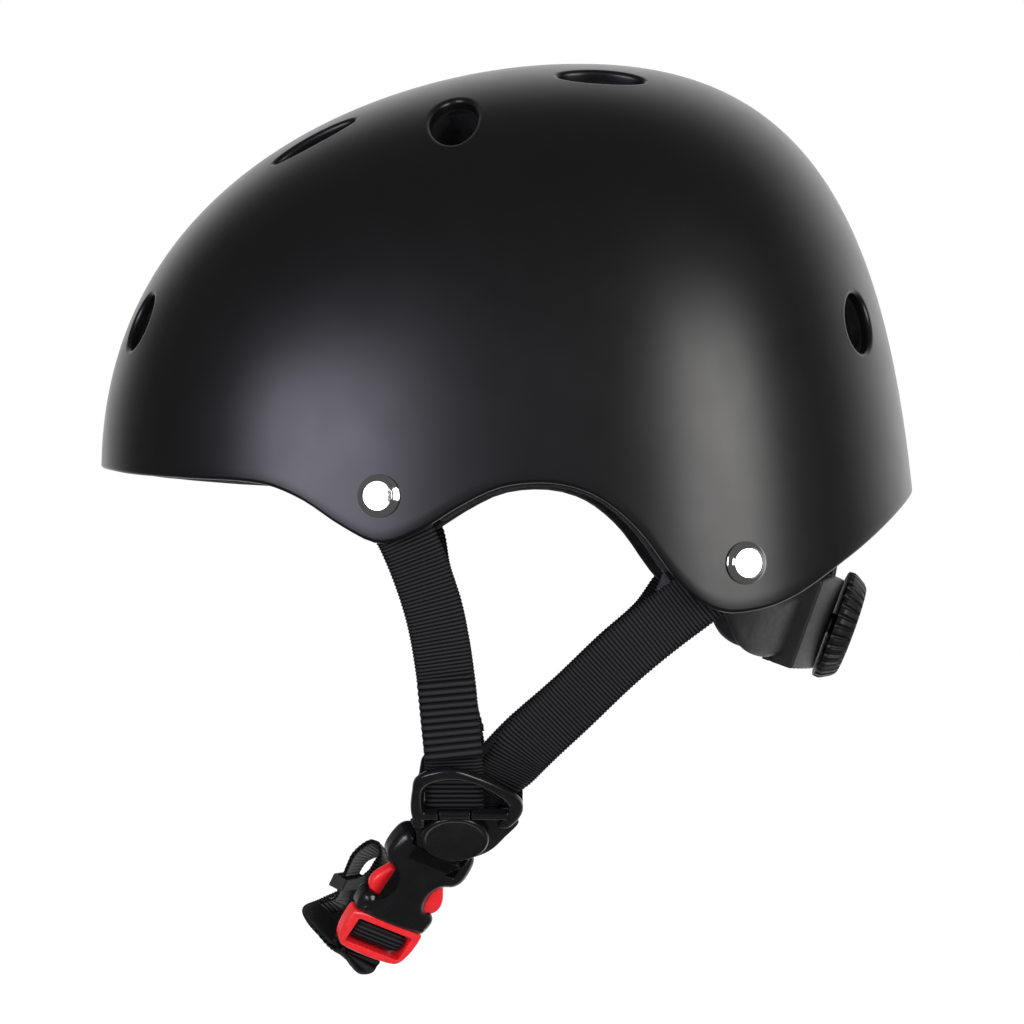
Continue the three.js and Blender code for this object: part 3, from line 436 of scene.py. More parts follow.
def anticlockwise(outline):
    """The outline as an array that runs anticlockwise."""
    outline = np.asarray(outline, float)
    after = np.roll(outline, -1, 0)
    area = np.sum(outline[:, 0] * after[:, 1] - after[:, 0] * outline[:, 1])
    return outline[::-1] if area < 0 else outline


def plate(outline, low, high):
    """Flat outline [(a, b), ...] from c = low to c = high."""
    outline = anticlockwise(outline)
    rings = [np.column_stack([outline, np.full(len(outline), c)]) for c in (low, high)]
    return loft(rings)


def block(a0, a1, b0, b1, c0, c1):
    return plate([(a0, b0), (a1, b0), (a1, b1), (a0, b1)], c0, c1)


def pillowed(outline, levels):
    """Outline raised through levels [(c, inset), ...], drawn in along its own normals."""
    outline = anticlockwise(outline)
    along = unit(np.roll(outline, -1, 0) - np.roll(outline, 1, 0))
    inward = np.column_stack([-along[:, 1], along[:, 0]])
    rings = [np.column_stack([outline + inward * inset, np.full(len(outline), c)]) for c, inset in levels]
    return loft(rings)


def catmull(points, place, closed=False):
    """Centripetal curve through points, at a place counted in spans."""
    n = len(points)
    k = min(int(place), n - 1 if closed else n - 2)
    f = place - k
    if closed:
        p0, p1, p2, p3 = (points[(k + j) % n] for j in (-1, 0, 1, 2))
    else:
        p1, p2 = points[k], points[k + 1]
        p0 = points[k - 1] if k > 0 else 2 * points[0] - points[1]
        p3 = points[k + 2] if k + 2 < n else 2 * points[-1] - points[-2]
    d0, d1, d2 = (max(np.linalg.norm(b - a), 1e-8) ** 0.5 for a, b in ((p0, p1), (p1, p2), (p2, p3)))
    m1 = ((p1 - p0) / d0 - (p2 - p0) / (d0 + d1) + (p2 - p1) / d1) * d1
    m2 = ((p2 - p1) / d1 - (p3 - p1) / (d1 + d2) + (p3 - p2) / d2) * d1
    c2 = -3 * p1 + 3 * p2 - 2 * m1 - m2
    c3 = 2 * p1 - 2 * p2 + m1 + m2
    return p1 + m1 * f + c2 * f * f + c3 * f ** 3


def smooth_loop(outline, per_span=5):
    """A closed outline with its corners drawn round."""
    points = [np.array(p, float) for p in outline]
    places = np.arange(len(points) * per_span) / per_span
    return np.array([catmull(points, place, True) for place in places])


def smooth_line(outline, count):
    """An open outline resampled to points evenly spaced along it."""
    points = [np.array(p, float) for p in outline]
    dense = np.array([catmull(points, s) for s in np.linspace(0, len(points) - 1, 40 * len(points))])
    return resample(dense, count)


def resample(dense, count):
    steps = np.linalg.norm(np.diff(dense, axis=0), axis=1)
    length = np.concatenate([[0], np.cumsum(steps)])
    places = np.linspace(0, length[-1], count)
    return np.column_stack([np.interp(places, length, dense[:, i]) for i in range(dense.shape[1])])


def both_sides(half):
    return [*half, *[(p, -q) for p, q in reversed(half)]]


# ------------------------------------------------------------------ objects
def temp_object(geometry):
    points, faces = geometry
    mesh = bpy.data.meshes.new("temp")
    mesh.from_pydata(np.asarray(points).tolist(), [], faces)
    obj = bpy.data.objects.new("temp", mesh)
    bpy.context.scene.collection.objects.link(obj)
    return obj


def carve(base, adds=(), cuts=(), voxel=0.0, smooth=0):
    """Joins and cuts solids, then rounds the result if a voxel size is given."""
    target = temp_object(base)
    helpers = []
    for operation, parts in (("UNION", adds), ("DIFFERENCE", cuts)):
        for part in parts:
            helper = temp_object(part)
            helpers.append(helper)
            step = target.modifiers.new("step", "BOOLEAN")
            step.solver = "MANIFOLD"
            step.operation = operation
            step.object = helper
    if voxel:
        remesh = target.modifiers.new("remesh", "REMESH")
        remesh.mode = "VOXEL"
        remesh.voxel_size = voxel
        if smooth:
            soften = target.modifiers.new("soften", "SMOOTH")
            soften.factor = 0.5
            soften.iterations = smooth
    bpy.context.view_layer.update()
    evaluated = target.evaluated_get(bpy.context.evaluated_depsgraph_get())
    result = evaluated.to_mesh()
    points = np.zeros(len(result.vertices) * 3)
    result.vertices.foreach_get("co", points)
    faces = [list(p.vertices) for p in result.polygons]
    evaluated.to_mesh_clear()
    for obj in (*helpers, target):
        mesh = obj.data
        bpy.data.objects.remove(obj)
        bpy.data.meshes.remove(mesh)
    return points.reshape(-1, 3), faces


def placed(geometry, local):
    points, faces = geometry
    return local.at(points), faces


def mirrored(geometry):
    points, faces = geometry
    return np.asarray(points) * (-1, 1, 1), [face[::-1] for face in faces]


def piece(name, geometry, look, body, replaces=(), sharp=None, uv=None):
    """Makes the mesh in metres, gives it its material and puts it on its body."""
    points, faces = geometry
    mesh = bpy.data.meshes.new(name)
    mesh.from_pydata((np.asarray(points) * MM).tolist(), [], faces)
    mesh.polygons.foreach_set("use_smooth", [True] * len(mesh.polygons))
    if sharp:
        mesh.set_sharp_from_angle(angle=math.radians(sharp))
    for material in look if isinstance(look, (list, tuple)) else [look]:
        mesh.materials.append(LOOK[material])
    if uv is not None:
        layer = mesh.uv_layers.new(name="UVMap")
        corner = np.zeros(len(mesh.loops), int)
        mesh.loops.foreach_get("vertex_index", corner)
        layer.data.foreach_set("uv", (np.asarray(uv)[corner] * MM).ravel())
    mesh.update()
    obj = bpy.data.objects.new(name, mesh)
    bpy.context.scene.collection.objects.link(obj)
    if body:
        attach(obj, body)
    if replaces:
        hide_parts(*replaces)
    return obj


# ------------------------------------------------------------------ dome
FRONT_CURVE = np.array([[0, CROWN_TOP], [68.6, CROWN_TOP], [190.2, -23.7], [150.9, CURVE_END]])
REAR_CURVE = np.array([[0, CROWN_TOP], [88.1, CROWN_TOP], [107.2, -48.5], [113.4, CURVE_END]])
SIDE_CURVE = np.array([[0, CROWN_TOP], [62, CROWN_TOP], [116, -8], [104, CURVE_END]])
FRONT_ROUND = 2.35
REAR_ROUND = 2.2
# Lower edge of the shell as [y, z]: brow, front lobe, ear arch, rear lobe, nape.
EDGE = np.array([
    [-160, -111.5], [-147, -114], [-129, -115.5], [-102, -117.5], [-89, -122.5], [-76, -131],
    [-64, -136.3], [-52, -132.5], [-39, -124.7], [-27, -119], [-14, -117.3], [-3, -118.8],
    [7, -123.5], [17.5, -132.8], [28.4, -147], [38, -155.5], [48, -158], [65, -153.7],
    [85, -140.6], [96, -132], [111, -118.6],
])


def bezier(points, t):
    s = 1 - t
    weights = np.stack([s ** 3, 3 * s * s * t, 3 * s * t * t, t ** 3], -1)
    return weights @ points


def smooth_table(table, x):
    """Smooth curve through a table of [x, y] rows."""
    x = np.clip(x, table[0, 0], table[-1, 0])
    i = np.clip(np.searchsorted(table[:, 0], x, side="left") - 1, 0, len(table) - 2)
    low = np.maximum(np.arange(len(table)) - 1, 0)
    high = np.minimum(np.arange(len(table)) + 1, len(table) - 1)
    slope = (table[high, 1] - table[low, 1]) / (table[high, 0] - table[low, 0])
    span = table[i + 1, 0] - table[i, 0]
    t = (x - table[i, 0]) / span
    t2, t3 = t * t, t ** 3
    return ((2 * t3 - 3 * t2 + 1) * table[i, 1] + (t3 - 2 * t2 + t) * span * slope[i]
            + (3 * t2 - 2 * t3) * table[i + 1, 1] + (t3 - t2) * span * slope[i + 1])


def dome_surface(theta, t):
    theta, t = np.broadcast_arrays(np.asarray(theta, float), np.asarray(t, float))
    c, s = np.cos(theta), np.sin(theta)
    ahead = (c > 0)[..., None]
    ends = np.where(ahead, bezier(FRONT_CURVE, t), bezier(REAR_CURVE, t))
    side = bezier(SIDE_CURVE, t)
    power = np.where(c > 0, FRONT_ROUND, REAR_ROUND)
    full = (np.abs(c) ** power + np.abs(s) ** power) ** (-1 / power)
    z = ends[..., 1] * c * c + side[..., 1] * s * s
    return np.stack([side[..., 0] * s * full, -ends[..., 0] * c * full, z], -1)


def dome_normal(theta, t):
    t = np.clip(t, 0.01, 0.99)
    e = 1e-3
    across = dome_surface(theta + e, t) - dome_surface(theta - e, t)
    down = dome_surface(theta, t + e) - dome_surface(theta, t - e)
    return unit(np.cross(down, across))


def dome(theta, t, depth=0.0):
    theta, t, depth = np.broadcast_arrays(*(np.asarray(v, float) for v in (theta, t, depth)))
    return dome_surface(theta, t) - dome_normal(theta, t) * depth[..., None]


def edge_at(theta, drop=0.0):
    """Curve parameter where the lower edge crosses each direction."""
    low = np.full(len(theta), 0.3)
    high = np.ones(len(theta))
    for _ in range(40):
        t = (low + high) / 2
        p = dome_surface(theta, t)
        inside = p[:, 2] > smooth_table(EDGE, p[:, 1]) - drop
        low = np.where(inside, t, low)
        high = np.where(inside, high, t)
    return low


ALL = np.array([1, 1, 1.0])
FROM_SIDE = np.array([0.02, 1, 1])


def locate(target, weights=ALL):
    """Direction and parameter of the dome point nearest to a point on the left half."""
    def away(theta, t):
        return np.linalg.norm((dome_surface(theta, t) - target) * weights, axis=-1)

    thetas, ts = np.meshgrid(np.arange(37) * math.pi / 36, np.arange(1, 40) / 40, indexing="ij")
    first = np.argmin(away(thetas, ts))
    best = np.array([thetas.flat[first], ts.flat[first]])
    step = 0.05
    while step > 1e-5:
        for _ in range(4):
            for move in ((step, 0), (-step, 0), (0, step / 2), (0, -step / 2)):
                tried = best + move
                if away(*tried) < away(*best):
                    best = tried
        step /= 2
    return best


def on_dome(point, depth=0.0, weights=ALL):
    place = locate(np.asarray(point, float), weights)
    return dome(*place, depth), dome_normal(*place), place


def dome_frame(point, along, weights=ALL):
    """Local frame on the dome, third axis outward, first axis along the given direction."""
    at, normal, place = on_dome(point, 0, weights)
    ea = square_to(along, normal)
    made = Local(at, ea, np.cross(normal, ea), normal)
    made.place = place
    return made


def liner_depth(theta, t):
    c = np.cos(theta)
    wall = mix(LINER_SIDE, np.where(c > 0, LINER_FRONT, LINER_REAR), c * c)
    return LINER_OUTER + mix(LINER_CROWN, wall, np.minimum(t / 0.75, 1))


def dome_wall(around, outer, inner, drop, rim, rows, inner_rows, rim_steps=8):
    """A wall between two depths of the dome with a rounded lower rim."""
    theta = np.linspace(0, 2 * math.pi, around, endpoint=False)
    edge = edge_at(theta, drop - rim)

    def ring(depth, share):
        return dome(theta, edge * share, depth(theta, edge * share))

    outside = [ring(outer, share) for share in np.linspace(0, 1, rows)[1:]]
    low_out = outside[-1]
    low_in = dome(theta, edge, inner(theta, edge))
    down = unit(dome_surface(theta, edge + 1e-3) - dome_surface(theta, edge - 1e-3))
    turn = []
    for k in range(1, rim_steps):
        angle = math.pi * k / rim_steps
        centre = (low_out + low_in) / 2
        turn.append(centre + (low_out - low_in) / 2 * math.cos(angle) + down * rim * math.sin(angle))
    inside = [ring(inner, share) for share in np.linspace(1, 0, inner_rows)[:-1]]
    rings = np.array([*outside, *turn, *inside])
    return loft(rings, dome(0, 0, outer(0, 0)), dome(0, 0, inner(0, 0)))


# ------------------------------------------------------------------ vents
# Centre, direction of the long axis and half sizes on the left side. All are mirrored.
VENTS = [
    ((36.5, -143.6, -64.4), (0, 0.2, 1), 9.7, 8),
    ((42, -87, -5.6), (0, 0.94, 0.33), 14.8, 5.2),
    ((64.4, -41.3, -0.8), (0.78, 0, -0.63), 12.4, 7.9),
    ((44, 6.2, 14.7), (0.04, 1, -0.06), 14, 7),
    ((52.8, 89.2, -65.4), (-0.59, 0.09, 0.8), 10.6, 8.6),
]


def vent_ring(long, wide, grow, count):
    """Points of an ellipse grown along its own normals."""
    angle = np.linspace(0, 2 * math.pi, count, endpoint=False)
    on = np.column_stack([long * np.cos(angle), wide * np.sin(angle)])
    out = unit(np.column_stack([np.cos(angle) / long, np.sin(angle) / wide]))
    return on + out * grow


def vent_cutter(local, long, wide, grow, low, high):
    ring = vent_ring(long, wide, grow, 64)
    return placed(plate(ring, low, high), local)


def meet_dome(local, flat):
    """Dome places straight below flat points [(a, b), ...] of a local frame."""
    place = np.tile(local.place, (len(flat), 1))
    e = 1e-4

    def off(p):
        return ((dome_surface(p[:, 0], p[:, 1]) - local.origin) @ local.axes[:2].T) - flat

    for _ in range(12):
        value = off(place)
        by_theta = (off(place + (e, 0)) - value) / e
        by_t = (off(place + (0, e)) - value) / e
        jacobian = np.stack([by_theta, by_t], -1)
        place = place - np.linalg.solve(jacobian, value[..., None])[..., 0]
    return place


def vent_lip(local, long, wide):
    """Rounded edge and wall of a vent, from the dome's face into the liner."""
    r = VENT_FILLET
    rows = [(r + 0.9, -0.012), (r + 0.45, -0.012), (r, -0.012)]
    rows += [(r - r * math.sin(a), r - r * math.cos(a)) for a in np.linspace(0, math.pi / 2, 9)[1:]]
    rows += [(0, 2.6), (0, 5.0)]
    count = 96
    rings = []
    for grow, depth in rows:
        place = meet_dome(local, vent_ring(long, wide, grow, count))
        rings.append(dome(place[:, 0], place[:, 1], depth))
    points = np.array(rings).reshape(-1, 3)
    faces = [face[::-1] for face in strip_faces(len(rows), count)]
    return points, faces


# ------------------------------------------------------------------ places of rivets and straps
RIVETS = {
    "front": dome_frame((99, -64.1, -121.3), (0, 0.5, -0.86), FROM_SIDE),
    "rear": dome_frame((97, 50.5, -142.2), (-0.1, -0.82, -0.57), FROM_SIDE),
}
DIVIDER = Local((44.4, -41, -228.5), (0, 1, 0), unit(0.743, 0, 0.669), unit(0.669, 0, -0.743))


def frame_along(origin, along, out):
    along = unit(*along)
    out = square_to(unit(*out), along)
    return Local(origin, along, np.cross(out, along), out)


BUCKLE = frame_along((34, -47.1, -234.6), (-0.312, -0.524, -0.792), (0.843, 0.235, -0.488))
TAB = frame_along((34.6, -47.6, -233.4), (-0.34, -0.62, -0.705), (0.85, 0.16, -0.5))
TILT = math.radians(20)
DIAL = Local((0, 83.1, -163.2), (0, math.sin(TILT), math.cos(TILT)), (1, 0, 0),
             (0, math.cos(TILT), -math.sin(TILT)))


def rivet_stations(rivet, reaches):
    stations = []
    for reach, extra in reaches:
        at, normal, _ = on_dome(rivet.at(reach, 0, 0), WEB_DEPTH + extra)
        stations.append((at, unit(np.cross(normal, rivet.ea)), WEB_HALF))
    return stations


def free(x, y, z, across):
    return np.array([x, y, z], float), np.array(across, float), WEB_HALF


def in_divider(u, v, h, au, av):
    return DIVIDER.at(u, v, h), DIVIDER.ea * au + DIVIDER.eb * av, WEB_HALF


FRONT_RUN = [
    free(91.2, -50.8, -146, (0.05, 0.93, 0.36)), free(87, -46.6, -160, (0, 0.97, 0.2)),
    free(81, -43.6, -178, (0, 0.99, 0.1)), free(75.2, -42, -195, (0, 1, 0)),
]
REAR_RUN = [
    free(90.6, 25, -161, (0, 0.6, -0.8)), free(86.5, 10.7, -173, (0, 0.64, -0.77)),
    free(78.5, -4.3, -187.7, (0, 0.66, -0.75)), free(70.6, -18.2, -201.4, (-0.1, 0.76, -0.64)),
]
FRONT_DIVIDER = [in_divider(0, v, h, 1, 0) for v, h in ((30, LAYER), (13, LAYER), (4.5, LAYER), (-2.6, 0.9))]
REAR_DIVIDER = [
    in_divider(14.6, 24.4, -LAYER, 0.82, -0.7), in_divider(7.2, 17.2, -LAYER, 0.9, -0.43),
    in_divider(4, 10, -LAYER, 0.94, -0.33), in_divider(0.8, 2.5, -LAYER, 0.98, -0.17),
    in_divider(0, -2.6, -LAYER, 1, 0),
]
BAR_WRAP = [(-2.4, 2.75), (0.4, 2.6), (2.8, 1.8), (3.8, 0), (2.8, -1.8), (0.4, -2.6), (-2.4, -2.75)]
SEWN_FOLD = [(-2.4, 1.2), (5, 1.1), (12, 1.05), (13.4, 0), (12, -1.05), (5, -1.1), (-2.4, -1.2)]


def ribbon(stations, thick, spacing, rib=0.0, pitch=1.0, shift=0.0, edge=0.35, across_count=9):
    """A flat band through stations (place, across, half width).

    Rounded long edges, and cross ribs of the given height and pitch on both faces.
    Returns the geometry, a (length, width) coordinate for each point, and the sampled rows.
    """
    per_span = 24
    places = [np.asarray(s[0], float) for s in stations]
    centres, alongs, crosses, halves = [], [], [], []
    for i in range((len(stations) - 1) * per_span + 1):
        place = i / per_span
        k = min(int(place), len(stations) - 2)
        f = place - k
        e = 1e-3
        before = catmull(places, max(place - e, 0))
        after = catmull(places, min(place + e, len(stations) - 1))
        along = unit(after - before)
        across = square_to(mix(stations[k][1], stations[k + 1][1], f), along)
        centres.append(catmull(places, place) + np.cross(along, across) * shift)
        alongs.append(along)
        crosses.append(across)
        halves.append([mix(stations[k][2], stations[k + 1][2], f)])
    dense = np.hstack([centres, alongs, crosses, halves])
    steps = np.linalg.norm(np.diff(dense[:, :3], axis=0), axis=1)
    length = np.concatenate([[0], np.cumsum(steps)])
    count = max(int(length[-1] / spacing), 4)
    reach = np.linspace(0, length[-1], count + 1)
    rows = np.column_stack([np.interp(reach, length, dense[:, i]) for i in range(dense.shape[1])])
    along = unit(rows[:, 3:6])
    across = unit(rows[:, 6:9])
    out = np.cross(along, across)
    wave = 0.5 + 0.5 * np.cos(2 * math.pi * reach / pitch)
    raised = rib * (wave ** 0.6 - 1)
    section = []
    for side in (1, -1):
        for v in np.linspace(-1, 1, across_count) * side:
            flat = 1 - max(0, abs(v) - 0.9) / 0.1
            section.append((v, side * (edge + (1 - edge) * math.sqrt(max(flat, 0)) if abs(v) > 0.9 else 1.0)))
    points, uv = [], []
    for v, level in section:
        grow = raised * (0.35 if abs(v) > 0.95 else 1.0)
        height = np.sign(level) * (abs(level) * thick / 2 + grow)
        half = rows[:, 9] + SERRATION * (wave - 1) * (rib > 0)
        points.append(rows[:, :3] + across * (half * v)[:, None] + out * height[:, None])
        uv.append(np.column_stack([reach, rows[:, 9] * v + (0 if level > 0 else 40)]))
    rings = np.array(points).transpose(1, 0, 2)
    coordinates = np.array(uv).transpose(1, 0, 2).reshape(-1, 2)
    return loft(rings), coordinates, rows


# How far the right strap's free stations lie forward and along their own width.
RIGHT_FRONT = (-2.6, -2.4, -2.0, -1.5)
RIGHT_REAR = (4.0, 4.5, 4.0, 2.5)


def shifted(stations, shifts):
    return [(at + unit(across) * shift, across, half) for (at, across, half), shift in zip(stations, shifts)]


def side_strap(local, turn, front_run, rear_run):
    start = rivet_stations(RIVETS["front"], [(-9, 0), (0, 0), (8, 0.3), (15, 1.4)])
    finish = rivet_stations(RIVETS["rear"], [(-9, 0), (0, 0), (9, 0.3), (17, 1.2)])
    loop = [(local.at(p, 0, n), local.eb, WEB_HALF) for p, n in turn]
    down = [*start, *front_run, *FRONT_DIVIDER, *loop]
    stations = [*down, *REAR_DIVIDER[::-1], *rear_run[::-1], *finish[::-1]]
    return ribbon(stations, WEB_THICK, FINE_RIB / 6, rib=0.2, pitch=FINE_RIB)


# ------------------------------------------------------------------ shell, lips, liner
def rivet_hole(local):
    return placed(turned([(0, -8), (RIVET_HOLE, -8), (RIVET_HOLE, 3), (0, 3)], 32), local)


def build_shell():
    wall = dome_wall(300, lambda a, t: 0 * t, lambda a, t: 0 * t + SHELL_THICK, 0, 1.3, 110, 40)
    cuts = []
    for at, along, long, wide in VENTS:
        local = dome_frame(at, along)
        cutter = vent_cutter(local, long, wide, VENT_FILLET + 0.4, -12, 14)
        cuts += [cutter, mirrored(cutter)]
    for rivet in RIVETS.values():
        cuts += [rivet_hole(rivet), mirrored(rivet_hole(rivet))]
    shell = carve(wall, cuts=cuts)
    piece("shell_skin", shell, "shell", "helmet", ["outer_shell"], sharp=35)
    for number, (at, along, long, wide) in enumerate(VENTS, 1):
        lip = vent_lip(dome_frame(at, along), long, wide)
        piece(f"vent_lip_{number}_left", lip, "shell", "helmet")
        piece(f"vent_lip_{number}_right", mirrored(lip), "shell", "helmet")


def build_liner():
    wall = dome_wall(200, lambda a, t: 0 * t + LINER_OUTER, liner_depth, LINER_DROP, 2.2, 50, 60)
    cuts = []
    for at, along, long, wide in VENTS:
        cutter = vent_cutter(dome_frame(at, along), long, wide, -0.6, -40, 14)
        cuts += [cutter, mirrored(cutter)]
    side = WEB_HALF + 2.8
    for rivet in RIVETS.values():
        pocket = placed(block(-11.5, 60, -side, side, -11.5, 1), rivet)
        cuts += [pocket, mirrored(pocket)]
    cuts.append(placed(turned([(0, -2), (PIN_HOLE, -2), (PIN_HOLE, 12), (0, 12)], 24), PIN))
    piece("liner_foam", carve(wall, cuts=cuts), "foam", "helmet", ["foam_liner"], sharp=40)


NAPE = on_dome((0, 110, -110))
NAPE_T = NAPE[2][1]
PIN_HOLE = 1.7
PIN = Local(
    dome(math.pi, NAPE_T, liner_depth(math.pi, NAPE_T)), (1, 0, 0), np.cross(NAPE[1], (1, 0, 0)), NAPE[1],
)

build_shell()
build_liner()


# ------------------------------------------------------------------ pads
def crown_fall(share):
    """Height share of a stuffed pad at a share of the way in from its edge."""
    return 1 - (1 - np.clip(share, 0, 1)) ** 2.6


def corner_scale(u, v):
    """How far a grid from -1 to 1 is drawn in so that its corners turn round."""
    corner = (np.abs(u) ** 4 + np.abs(v) ** 4) ** 0.25
    return np.maximum(np.abs(u), np.abs(v)) / np.maximum(corner, 1e-6)


def soft_pad(name, node, from_degrees, to_degrees, high, low):
    """Crowned foam pad on the liner, drawn in at its seam."""
    around, down = 64, 36
    theta = np.linspace(math.radians(from_degrees), math.radians(to_degrees), around)
    t = np.linspace(high, low, down)
    grid_theta, grid_t = np.meshgrid(theta, t, indexing="ij")
    u = np.linspace(-1, 1, around)[:, None]
    v = np.linspace(-1, 1, down)[None, :]
    scale = corner_scale(u, v)
    mid_theta, mid_t = theta.mean(), t.mean()
    grid_theta = mid_theta + (grid_theta - mid_theta) * scale
    grid_t = mid_t + (grid_t - mid_t) * scale
    inset = 1 - np.maximum(np.abs(u), np.abs(v))
    puff = crown_fall(inset / 0.5)
    channel = 1 - 0.22 * np.exp(-(u / 0.035) ** 2) * np.ones_like(v)
    base = liner_depth(grid_theta, grid_t) + PAD_GAP
    seam = base + PAD_THICK * 0.3
    face = dome(grid_theta, grid_t, seam + PAD_THICK * 0.68 * puff * channel)
    back = dome(grid_theta, grid_t, seam - PAD_THICK * 0.3 * puff)
    pad_piece(name, node, face, back)


def pad_piece(name, node, face, back):
    """Closed mesh from a face grid and a back grid that share their rim."""
    rows, columns = face.shape[:2]
    index = np.arange(rows * columns).reshape(rows, columns)
    inner = np.zeros((rows, columns), bool)
    inner[1:-1, 1:-1] = True
    behind = index.copy()
    behind[inner] = rows * columns + np.arange(inner.sum())
    points = np.vstack([face.reshape(-1, 3), back[inner]])
    faces = []
    for table, flip in ((index, False), (behind, True)):
        a, b = table[:-1, :-1].ravel(), table[1:, :-1].ravel()
        c, d = table[1:, 1:].ravel(), table[:-1, 1:].ravel()
        quads = np.column_stack([d, c, b, a] if flip else [a, b, c, d])
        faces += quads.tolist()
    obj = piece(name, (points, faces), "fabric", "helmet", [node])
    rim = [*index[0, :], *index[1:, -1], *index[-1, -2::-1], *index[-2:0:-1, 0]]
    piping(name + "_seam", points[rim])


def piping(name, path, radius=0.55):
    """A round seam cord along a closed path."""
    path = np.asarray(path)
    along = unit(np.roll(path, -1, 0) - np.roll(path, 1, 0))
    centre = path.mean(0)
    side = path - centre
    side = unit(side - along * np.sum(side * along, 1, keepdims=True))
    up = np.cross(along, side)
    angle = np.linspace(0, 2 * math.pi, 8, endpoint=False)
    turn = side[:, None] * np.cos(angle)[:, None] + up[:, None] * np.sin(angle)[:, None]
    rings = path[:, None] + radius * turn
    count = len(angle)
    closed = np.concatenate([rings, rings[:1]])
    faces = [[i % (len(path) * count) for i in face] for face in strip_faces(len(closed), count)]
    piece(name, (rings.reshape(-1, 3), faces), "fabric", "helmet")


def build_crown_pad():
    around, rows = 72, 20
    theta = np.linspace(0, 2 * math.pi, around, endpoint=False)

    def under(radius):
        low, high = np.zeros(around), np.full(around, 0.6)
        for _ in range(30):
            t = (low + high) / 2
            p = dome(theta, t, liner_depth(theta, t) + PAD_GAP)
            inside = np.hypot(p[:, 0], p[:, 1]) < radius
            low = np.where(inside, t, low)
            high = np.where(inside, high, t)
        return dome(theta, low, liner_depth(theta, low) + PAD_GAP)[:, 2]

    shares = np.linspace(0, 1, rows)[1:]
    rings = []
    for share in shares:
        radius = CROWN_PAD_RADIUS * math.sin(share * math.pi / 2)
        dimple = 0.7 * math.exp(-(share / 0.12) ** 2)
        height = 3.2 * (1 - math.sqrt(max(0, 1 - share ** 5))) + dimple
        level = np.full(around, height)
        rings.append(np.column_stack([radius * np.sin(theta), -radius * np.cos(theta), level]))
    rim = rings[-1].copy()
    for share in np.linspace(0, 1, 14)[1:]:
        radius = CROWN_PAD_RADIUS * math.cos(share * math.pi / 2 * 0.93)
        top = under(radius) - 0.2
        height = mix(rim[:, 2], top, min(1, share * 3) ** 0.5)
        rings.append(np.column_stack([radius * np.sin(theta), -radius * np.cos(theta), height]))
    top = CROWN_TOP - liner_depth(0, 0) - PAD_GAP - 0.2
    geometry = loft(rings, (0, 0, 0.7), (0, 0, top))
    obj = piece("crown_cushion", geometry, "fabric", "helmet", ["crown_pad"])
    piping("crown_cushion_seam", rim, 0.5)


def bend(x):
    return HOUSING_RADIUS - np.sqrt(HOUSING_RADIUS ** 2 - x * x)


def build_nape_pad():
    around, down = 64, 30
    x = np.linspace(-34, 34, around)[:, None] * np.ones((1, down))
    u = np.linspace(-1, 1, around)[:, None]
    v = np.linspace(-1, 1, down)[None, :]
    scale = corner_scale(u, v)
    low = -13.8 + 5.2 * np.maximum(0, np.abs(x) / HOUSING_HALF - 0.55) ** 2 * 5
    high = 9.0 - 3.2 * np.maximum(0, np.abs(x) / HOUSING_HALF - 0.6) ** 2 * 6
    s = mix(low, high, (v + 1) / 2)
    s = (low + high) / 2 + (s - (low + high) / 2) * scale
    x = x * scale
    puff = crown_fall((1 - np.maximum(np.abs(u), np.abs(v))) / 0.5)
    channel = 1 - 0.25 * (np.exp(-((u - 0.36) / 0.03) ** 2) + np.exp(-((u + 0.36) / 0.03) ** 2))
    seam = -11.6
    face = DIAL.at(np.stack([s, x, seam - 3.3 * puff * channel - bend(x)], -1))
    back = DIAL.at(np.stack([s, x, seam + 0.7 * puff - bend(x)], -1))
    pad_piece("nape_cushion", "nape_pad", face, back)


soft_pad("brow_cushion", "front_pad", -34, 34, 0.7, 0.84)
soft_pad("side_cushion_left", "side_pad_left", 62, 108, 0.52, 0.72)
soft_pad("side_cushion_right", "side_pad_right", -62, -108, 0.52, 0.72)
build_crown_pad()
build_nape_pad()


# ------------------------------------------------------------------ rivets
def build_rivets():
    corners = [
        (0, 2.1), (RIVET_FACE, 2.1), (5.2, 1.5), (6.4, 0.85), (RIVET_HEAD, 0.6),
        (RIVET_HEAD, 0.35), (2.4, 0.35), (2.4, -7.4), (4.2, -7.4), (4.2, -8.2), (0, -8.2),
    ]
    head = turned(rounded_profile(corners, 0.12, 4), 96)
    for place, rivet in RIVETS.items():
        left = placed(head, rivet)
        for side, shape in (("left", left), ("right", mirrored(left))):
            node = f"rivet_{place}_{side}"
            piece(f"{node}_head", shape, "chrome", "helmet", [node])


build_rivets()


# ------------------------------------------------------------------ straps
def mirror_pair(name, made, look, node):
    piece(f"{name}_left", made, look, "helmet", [f"{node}_left"])
    piece(f"{name}_right", mirrored(made), look, "helmet", [f"{node}_right"])


